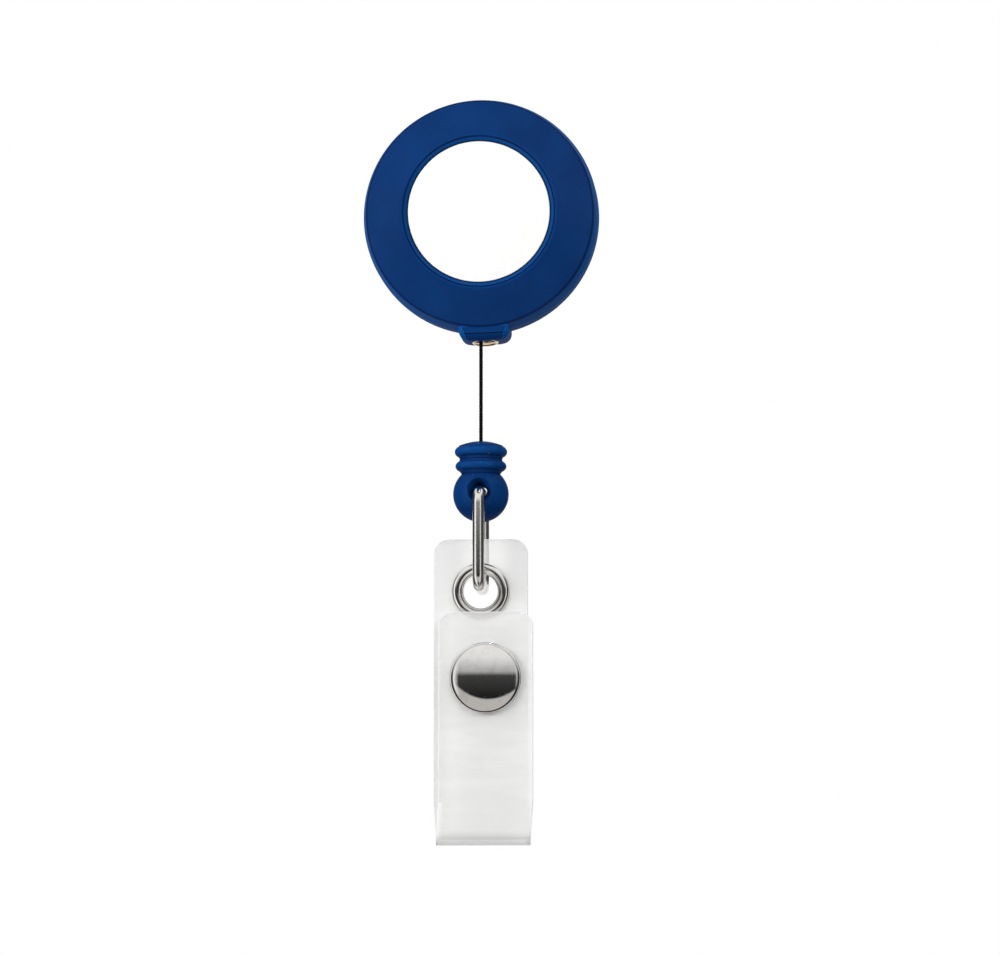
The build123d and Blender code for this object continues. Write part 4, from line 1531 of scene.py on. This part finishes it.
@dataclass
class PressStud:
    """The press stud: cap and socket on the flap, stud and post on the rear leaf."""

    rim: float = 0.5
    rim_round: float = 0.34

    def __post_init__(self) -> None:
        """Reads the press stud's places from the frame."""
        self.cap_box = Extent("snap_cap")
        self.middle = Vector((self.cap_box.middle.x, 0, self.cap_box.middle.z))
        self.leaf = Extent("strap_flap")
        self.rear = Extent("strap_back")

    def place(self) -> Matrix:
        """The press stud's own axes, with the height towards the front."""
        return facing(self.middle)

    def cap(self) -> bpy.types.Object:
        """The domed cap with its rolled rim and the shank through the flap."""
        radius = self.cap_box.size.x / 2
        seat, top = -self.leaf.low.y, -self.cap_box.low.y
        shoulder = seat + self.rim
        crown = top - shoulder
        dome = (radius**2 + crown**2) / (2 * crown)
        reach = radius - self.rim_round
        start = shoulder - self.rim_round * 0.2
        high = top - dome + sqrt(dome**2 - reach**2)
        domed = [
            (reach * (1 - step / 30), top - dome + sqrt(dome**2 - (reach * (1 - step / 30)) ** 2))
            for step in range(31)
        ]
        domed[-1] = (0.0, top)
        profile = [
            (0, seat - 1.2),
            (1.1, seat - 1.2),
            (1.1, seat),
            (radius - 0.12, seat),
            *arc((radius - 0.12, seat + 0.12), (0.12, 0.12), -90, 0, 4)[1:],
            *arc((reach, start), (self.rim_round, high - start), 0, 84, 10),
            *domed,
        ]
        names = ("snap_cap_dome", profile, self.place(), CAP_NICKEL, "snap_cap", "flap")
        return turned_piece(*names, crease=35.0, segments=160)

    def socket(self) -> bpy.types.Object:
        """The socket that grips the stud."""
        box = Extent("snap_socket")
        back, front = -box.high.y, -box.low.y
        outer = box.size.x / 2
        profile = rounded(
            [
                (1.95, front - 0.4, 0),
                (1.95, back, 0.15),
                (2.75, back, 0.3),
                (outer - 0.2, back + 0.55, 0.3),
                (outer, front, 0.1),
                (1.15, front, 0),
                (1.15, front - 0.4, 0),
            ]
        )
        names = ("snap_socket_ring", profile, self.place(), NICKEL, "snap_socket", "flap")
        return turned_piece(*names, closed=True, segments=96)

    def stud(self) -> bpy.types.Object:
        """The stud, with a neck under its head."""
        box = Extent("snap_stud")
        back, front = -box.high.y, -box.low.y
        outer = box.size.x / 2
        profile = rounded(
            [
                (0.95, back + 0.3, 0),
                (0.95, back, 0),
                (outer, back, 0.1),
                (outer, back + 0.6, 0.28),
                (1.6, back + 0.6, 0.12),
                (1.75, front, 0.5),
                (0, front, 0),
                (0, back + 0.6, 0),
                (0.95, back + 0.6, 0),
            ]
        )
        names = ("snap_stud_button", profile, self.place(), NICKEL, "snap_stud", "strap")
        return turned_piece(*names, closed=True, segments=96)

    def post(self) -> bpy.types.Object:
        """The post's dished head on the back of the strap."""
        box = Extent("snap_post")
        back, seat = -box.high.y, -self.rear.high.y
        outer = box.size.x / 2
        profile = rounded(
            [
                (0, back + 0.14, 0),
                (1.2, back + 0.16, 0.3),
                (1.7, back, 0.3),
                (outer, back + 0.08, 0.22),
                (outer, seat, 0.05),
                (0.9, seat, 0),
                (0.9, -box.low.y, 0.1),
                (0, -box.low.y, 0),
            ]
        )
        names = ("snap_post_head", profile, self.place(), NICKEL, "snap_post", "strap")
        return turned_piece(*names, segments=96)

    def build(self) -> None:
        """Makes the press stud's pieces."""
        self.cap()
        self.socket()
        self.stud()
        self.post()


# ---------------------------------------------------------------- belt clip
@dataclass
class BeltClip:
    """The belt clip of sprung strip, its rivet and the washer under the reel."""

    corner: float = 2.0
    edge_round: float = 0.12
    flare_radius: float = 3.0
    flare: float = 50.0  # degrees that the tongue's foot turns outwards
    head: float = 2.2
    shank: float = 1.0

    def __post_init__(self) -> None:
        """Reads the clip's places from the frame."""
        self.plate, self.tongue = Extent("clip_plate"), Extent("clip_tongue")
        self.rivet_box = Extent("clip_rivet")
        self.washer_box = Extent("clip_washer")
        self.thickness = 0.8
        self.half_width = self.plate.size.x / 2
        self.plate_y = self.plate.low.y + self.thickness / 2
        self.tongue_y = self.plate.high.y - self.thickness / 2
        self.bend = (self.tongue_y - self.plate_y) / 2
        self.bend_z = self.plate.high.z - self.bend - self.thickness / 2

    def centre_line(self) -> list[tuple[Vector, Vector]]:
        """Points of the strip's middle line, each with the strip's outward direction."""
        line: list[tuple[Vector, Vector]] = []
        foot = self.plate.low.z
        ends = [self.corner * (1 - cos(radians(90 * step / 8))) for step in range(9)]
        count = 14
        start = foot + self.corner
        heights = [foot + part for part in ends]
        heights += [start + (self.bend_z - start) * step / count for step in range(1, count)]
        line += [(Vector((0, self.plate_y, z)), Vector((0, -1, 0))) for z in heights]
        middle = Vector((0, (self.plate_y + self.tongue_y) / 2, self.bend_z))
        for step in range(25):
            angle = pi * step / 24
            out = Vector((0, -cos(angle), sin(angle)))
            line.append((middle + out * self.bend, out))
        turn_z = self.tongue.low.z + self.flare_radius * sin(radians(self.flare))
        turn_z += self.thickness / 2 * sin(radians(self.flare))
        line += [
            (Vector((0, self.tongue_y, self.bend_z + (turn_z - self.bend_z) * step / 18)), Vector((0, 1, 0)))
            for step in range(1, 19)
        ]
        centre = Vector((0, self.tongue_y + self.flare_radius, turn_z))
        for step in range(1, 21):
            angle = radians(self.flare) * (1 - (1 - step / 20) ** 1.6)
            out = Vector((0, cos(angle), sin(angle)))
            line.append((centre - out * self.flare_radius, out))
        return line

    def strip(self) -> bpy.types.Object:
        """The clip's plate, bend and tongue in one strip with rounded ends."""
        line = self.centre_line()
        lengths = [0.0]
        for (one, _), (two, _) in zip(line, line[1:]):
            lengths.append(lengths[-1] + (two - one).length)
        rings = []
        for (point, out), along in zip(line, lengths):
            end = min(along, lengths[-1] - along)
            left = max(0.0, self.corner - end)
            half = self.half_width - self.corner + sqrt(max(0.0, self.corner**2 - left**2))
            rings.append(self.bar(point, out, half))
        made = as_object("clip_strip", lofted(rings), 40.0)
        middle = Vector((0, self.plate_y, 0))
        tool = [(0, -1), (self.shank, -1), (self.shank, 1), (0, 1)]
        made = cut(made, [turned(tool, facing(middle), segments=48)], 40.0)
        dress(made, CLIP_STEEL, ["clip_plate", "clip_tongue"])
        level = self.bend_z * MM
        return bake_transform(made)

    def bar(self, point: Vector, out: Vector, half: float) -> Ring:
        """The strip's section, a flat bar with softened edges.

        Args:
            point: its middle.
            out: the direction of its thickness.
            half: half its width.

        Returns:
            The section's points.
        """
        soft, deep = self.edge_round, self.thickness / 2
        quarter = arc((half - soft, deep - soft), (soft, soft), 0, 90, 3)
        outline = [
            *quarter,
            *((-x, y) for x, y in reversed(quarter)),
            *((-x, -y) for x, y in quarter),
            *((x, -y) for x, y in reversed(quarter)),
        ]
        return [point + Vector((x, 0, 0)) + out * y for x, y in outline]

    def rivet(self) -> bpy.types.Object:
        """The rivet: a domed head on the belt's side, its shank and its clenched end."""
        back, front = -self.rivet_box.high.y, -self.rivet_box.low.y
        angles = [radians(90 - 9 * step) for step in range(1, 11)]
        profile = [
            (0, back),
            *((self.head * cos(a), back + 0.5 - 0.5 * sin(a)) for a in angles),
            (self.head - 0.05, 0),
            (self.shank, 0),
            (self.shank, front - 0.5),
            (1.6, front - 0.5),
            (1.5, front - 0.15),
            (1.2, front),
            (0, front),
        ]
        names = ("rivet_head", profile, facing(Vector()), CLIP_STEEL, "clip_rivet", "belt_clip")
        return turned_piece(*names, crease=35.0, segments=64)

    def washer(self) -> bpy.types.Object:
        """The washer between the clip and the reel."""
        profile = flat_ring(self.washer_box, self.shank + 0.05, (0.05, 0.1, 0.1, 0.05))
        names = ("reel_washer", profile, facing(Vector()), CLIP_STEEL, "clip_washer", "belt_clip")
        return turned_piece(*names, closed=True, segments=96)

    def build(self) -> None:
        """Makes the belt clip's pieces."""
        self.strip()
        self.rivet()
        self.washer()


@dataclass
class Works:
    """The parts inside the reel and the cord stop, which keep their CAD shapes."""

    finishes: tuple[tuple[str, Finish], ...] = (
        ("spool", DRUM),
        ("mainspring", SPRING),
        ("cord_winding", YARN),
        ("anchor_knot", YARN),
        ("stop_knot", YARN),
    )

    def build(self) -> None:
        """Gives each part its finish."""
        for name, finish in self.finishes:
            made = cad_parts[name]
            made.data.materials.clear()
            made.data.materials.append(finish.material())
            log.info("%s: %s", name, finish.name)


# ---------------------------------------------------------------- studio
@dataclass(frozen=True)
class Softbox:
    """A soft lamp that shines on the reel."""

    name: str
    place: tuple[float, float, float]
    width: float
    power: float
    glossy: bool = False

    def hang(self, aim: Vector) -> None:
        """Hangs the lamp and points it.

        Args:
            aim: the point that it faces, in millimetres.
        """
        data = bpy.data.lights.new(self.name, "AREA")
        data.shape = "DISK"
        data.size = self.width * MM
        data.energy = self.power
        made = bpy.data.objects.new(self.name, data)
        made.location = Vector(self.place) * MM
        made.rotation_euler = ((aim - Vector(self.place)) * MM).to_track_quat("-Z", "Y").to_euler()
        made.visible_glossy = self.glossy
        bpy.context.scene.collection.objects.link(made)


@dataclass
class Studio:
    """The pale floor, the soft light and the camera."""

    distance: float = 600.0
    focus: float = 7.4 * 600.0 / 1000.0 * 36.0
    azimuth: float = 4.0
    elevation: float = -6.0
    aim: tuple[float, float, float] = (2.6, -5.0, -35.75)
    floor: float = -1000.0

    def camera(self) -> None:
        """Puts the camera below and a little to the right of the reel's front."""
        data = bpy.data.cameras.new("camera")
        data.sensor_width = 36.0
        data.lens = self.focus
        data.clip_start = 0.05
        turn, rise = radians(self.azimuth), radians(self.elevation)
        away = Vector((sin(turn) * cos(rise), -cos(turn) * cos(rise), sin(rise)))
        made = bpy.data.objects.new("camera", data)
        made.location = (Vector(self.aim) + away * self.distance) * MM
        made.rotation_euler = away.to_track_quat("Z", "Y").to_euler()
        bpy.context.scene.collection.objects.link(made)
        bpy.context.scene.camera = made

    def surroundings(self) -> None:
        """A studio with a pale ceiling, a dark gap in front and white screens beside it."""
        world = bpy.data.worlds.new("studio")
        world.use_nodes = True
        graph = Graph(world.node_tree)
        x, y, z = graph.split(graph.node("ShaderNodeTexCoord", out="Generated"))
        turn = x.math("ARCTAN2", -1.0 * y) / tau + 0.5
        height = (z + 1.0) / 2.0
        front_stops = [(0.0, 0.01), (0.30, 0.01), (0.555, 0.05), (0.60, 0.42), (0.75, 0.80)]
        front = self.grey(graph, height, [*front_stops, (0.92, 0.90), (0.965, 0.03)])
        rim = (x * x + (z - 0.45) ** 2.0) ** 0.5
        below = rim.ramp(0.84, 0.88) * z.ramp(0.12, 0.0) * z.ramp(-0.92, -0.75)
        front = graph.blend(front, colour(0.50, 0.485, 0.475), below)
        left_stops = [(0.0, 0.85), (0.083, 0.85), (0.111, 0.04), (0.278, 0.04), (0.30, 1.0), (0.40, 1.0)]
        right_stops = [(0.60, 1.0), (0.639, 1.0), (0.653, 0.04), (0.889, 0.04), (0.917, 0.85)]
        side = self.grey(graph, turn, [*left_stops, *right_stops, (1.0, 0.85)])
        beside = [(0.0, 1.0), (0.370, 1.0), (0.390, 0.0), (0.60, 0.0), (0.61, 0.9), (1.0, 1.0)]
        weight = self.grey(graph, turn, beside) * z.ramp(0.80, 0.45)
        shade = graph.blend(front, side, weight)
        seen = graph.node("ShaderNodeLightPath", out="Is Camera Ray")
        sky = graph.blend(shade, colour(1.0, 1.0, 1.0), seen)
        backdrop = graph.node("ShaderNodeBackground", values={"Color": sky, "Strength": 1.0})
        graph.node("ShaderNodeOutputWorld", values={"Surface": backdrop})
        bpy.context.scene.world = world

    @staticmethod
    def grey(graph: Graph, value: Wire, stops: Sequence[tuple[float, float]]) -> Wire:
        """A grey that follows a value over stops."""
        return graph.node("ShaderNodeValToRGB", {"stops": stops}, {0: value})

    def ground(self) -> None:
        """A pale floor well below the hanging reel."""
        mesh = bmesh.new()
        reach = 20000.0
        corners = [(-reach, -reach), (reach, -reach), (reach, reach), (-reach, reach)]
        mesh.faces.new([mesh.verts.new((x, y, self.floor)) for x, y in corners])
        made = as_object("floor", mesh, outward=False)
        paint = bpy.data.materials.new("floor_paint")
        paint.use_nodes = True
        graph = Graph(paint.node_tree)
        soft = graph.noise(graph.place(), 0.002, 2.0)
        values = {
            "Base Color": graph.blend(colour(0.86, 0.86, 0.86), colour(0.9, 0.9, 0.9), soft),
            "Roughness": 0.8,
        }
        shader = graph.node("ShaderNodeBsdfPrincipled", values=values)
        graph.node("ShaderNodeOutputMaterial", values={"Surface": shader})
        made.data.materials.append(paint)
        made.visible_glossy = False
        made.visible_diffuse = False

    def lamps(self) -> None:
        """The soft lamps."""
        aim = Vector((0, -5, -35))
        for lamp in (
            Softbox("key", (-490, -420, 90), 300, 2.6),
            Softbox("fill", (400, -460, 150), 320, 1.5),
            Softbox("spark", (40, -60, 460), 34, 0.10, glossy=True),
            Softbox("back", (150, 500, 300), 300, 0.9),
        ):
            lamp.hang(aim)

    def build(self) -> None:
        """Sets up the studio."""
        bpy.context.scene.view_settings.view_transform = "Standard"
        self.camera()
        self.surroundings()
        self.ground()
        self.lamps()


def main() -> None:
    """Builds the reel's looks in order."""
    logging.basicConfig(level=logging.INFO, format="%(message)s", stream=sys.stdout)
    steps: tuple[Callable[[], None], ...] = (
        Studio().build,
        Housing().build,
        BeltClip().build,
        Cord().build,
        CordStop().build,
        WireLoop().build,
        Strap().build,
        PressStud().build,
        Works().build,
    )
    for step in steps:
        step()


if __name__ == "__main__":
    main()
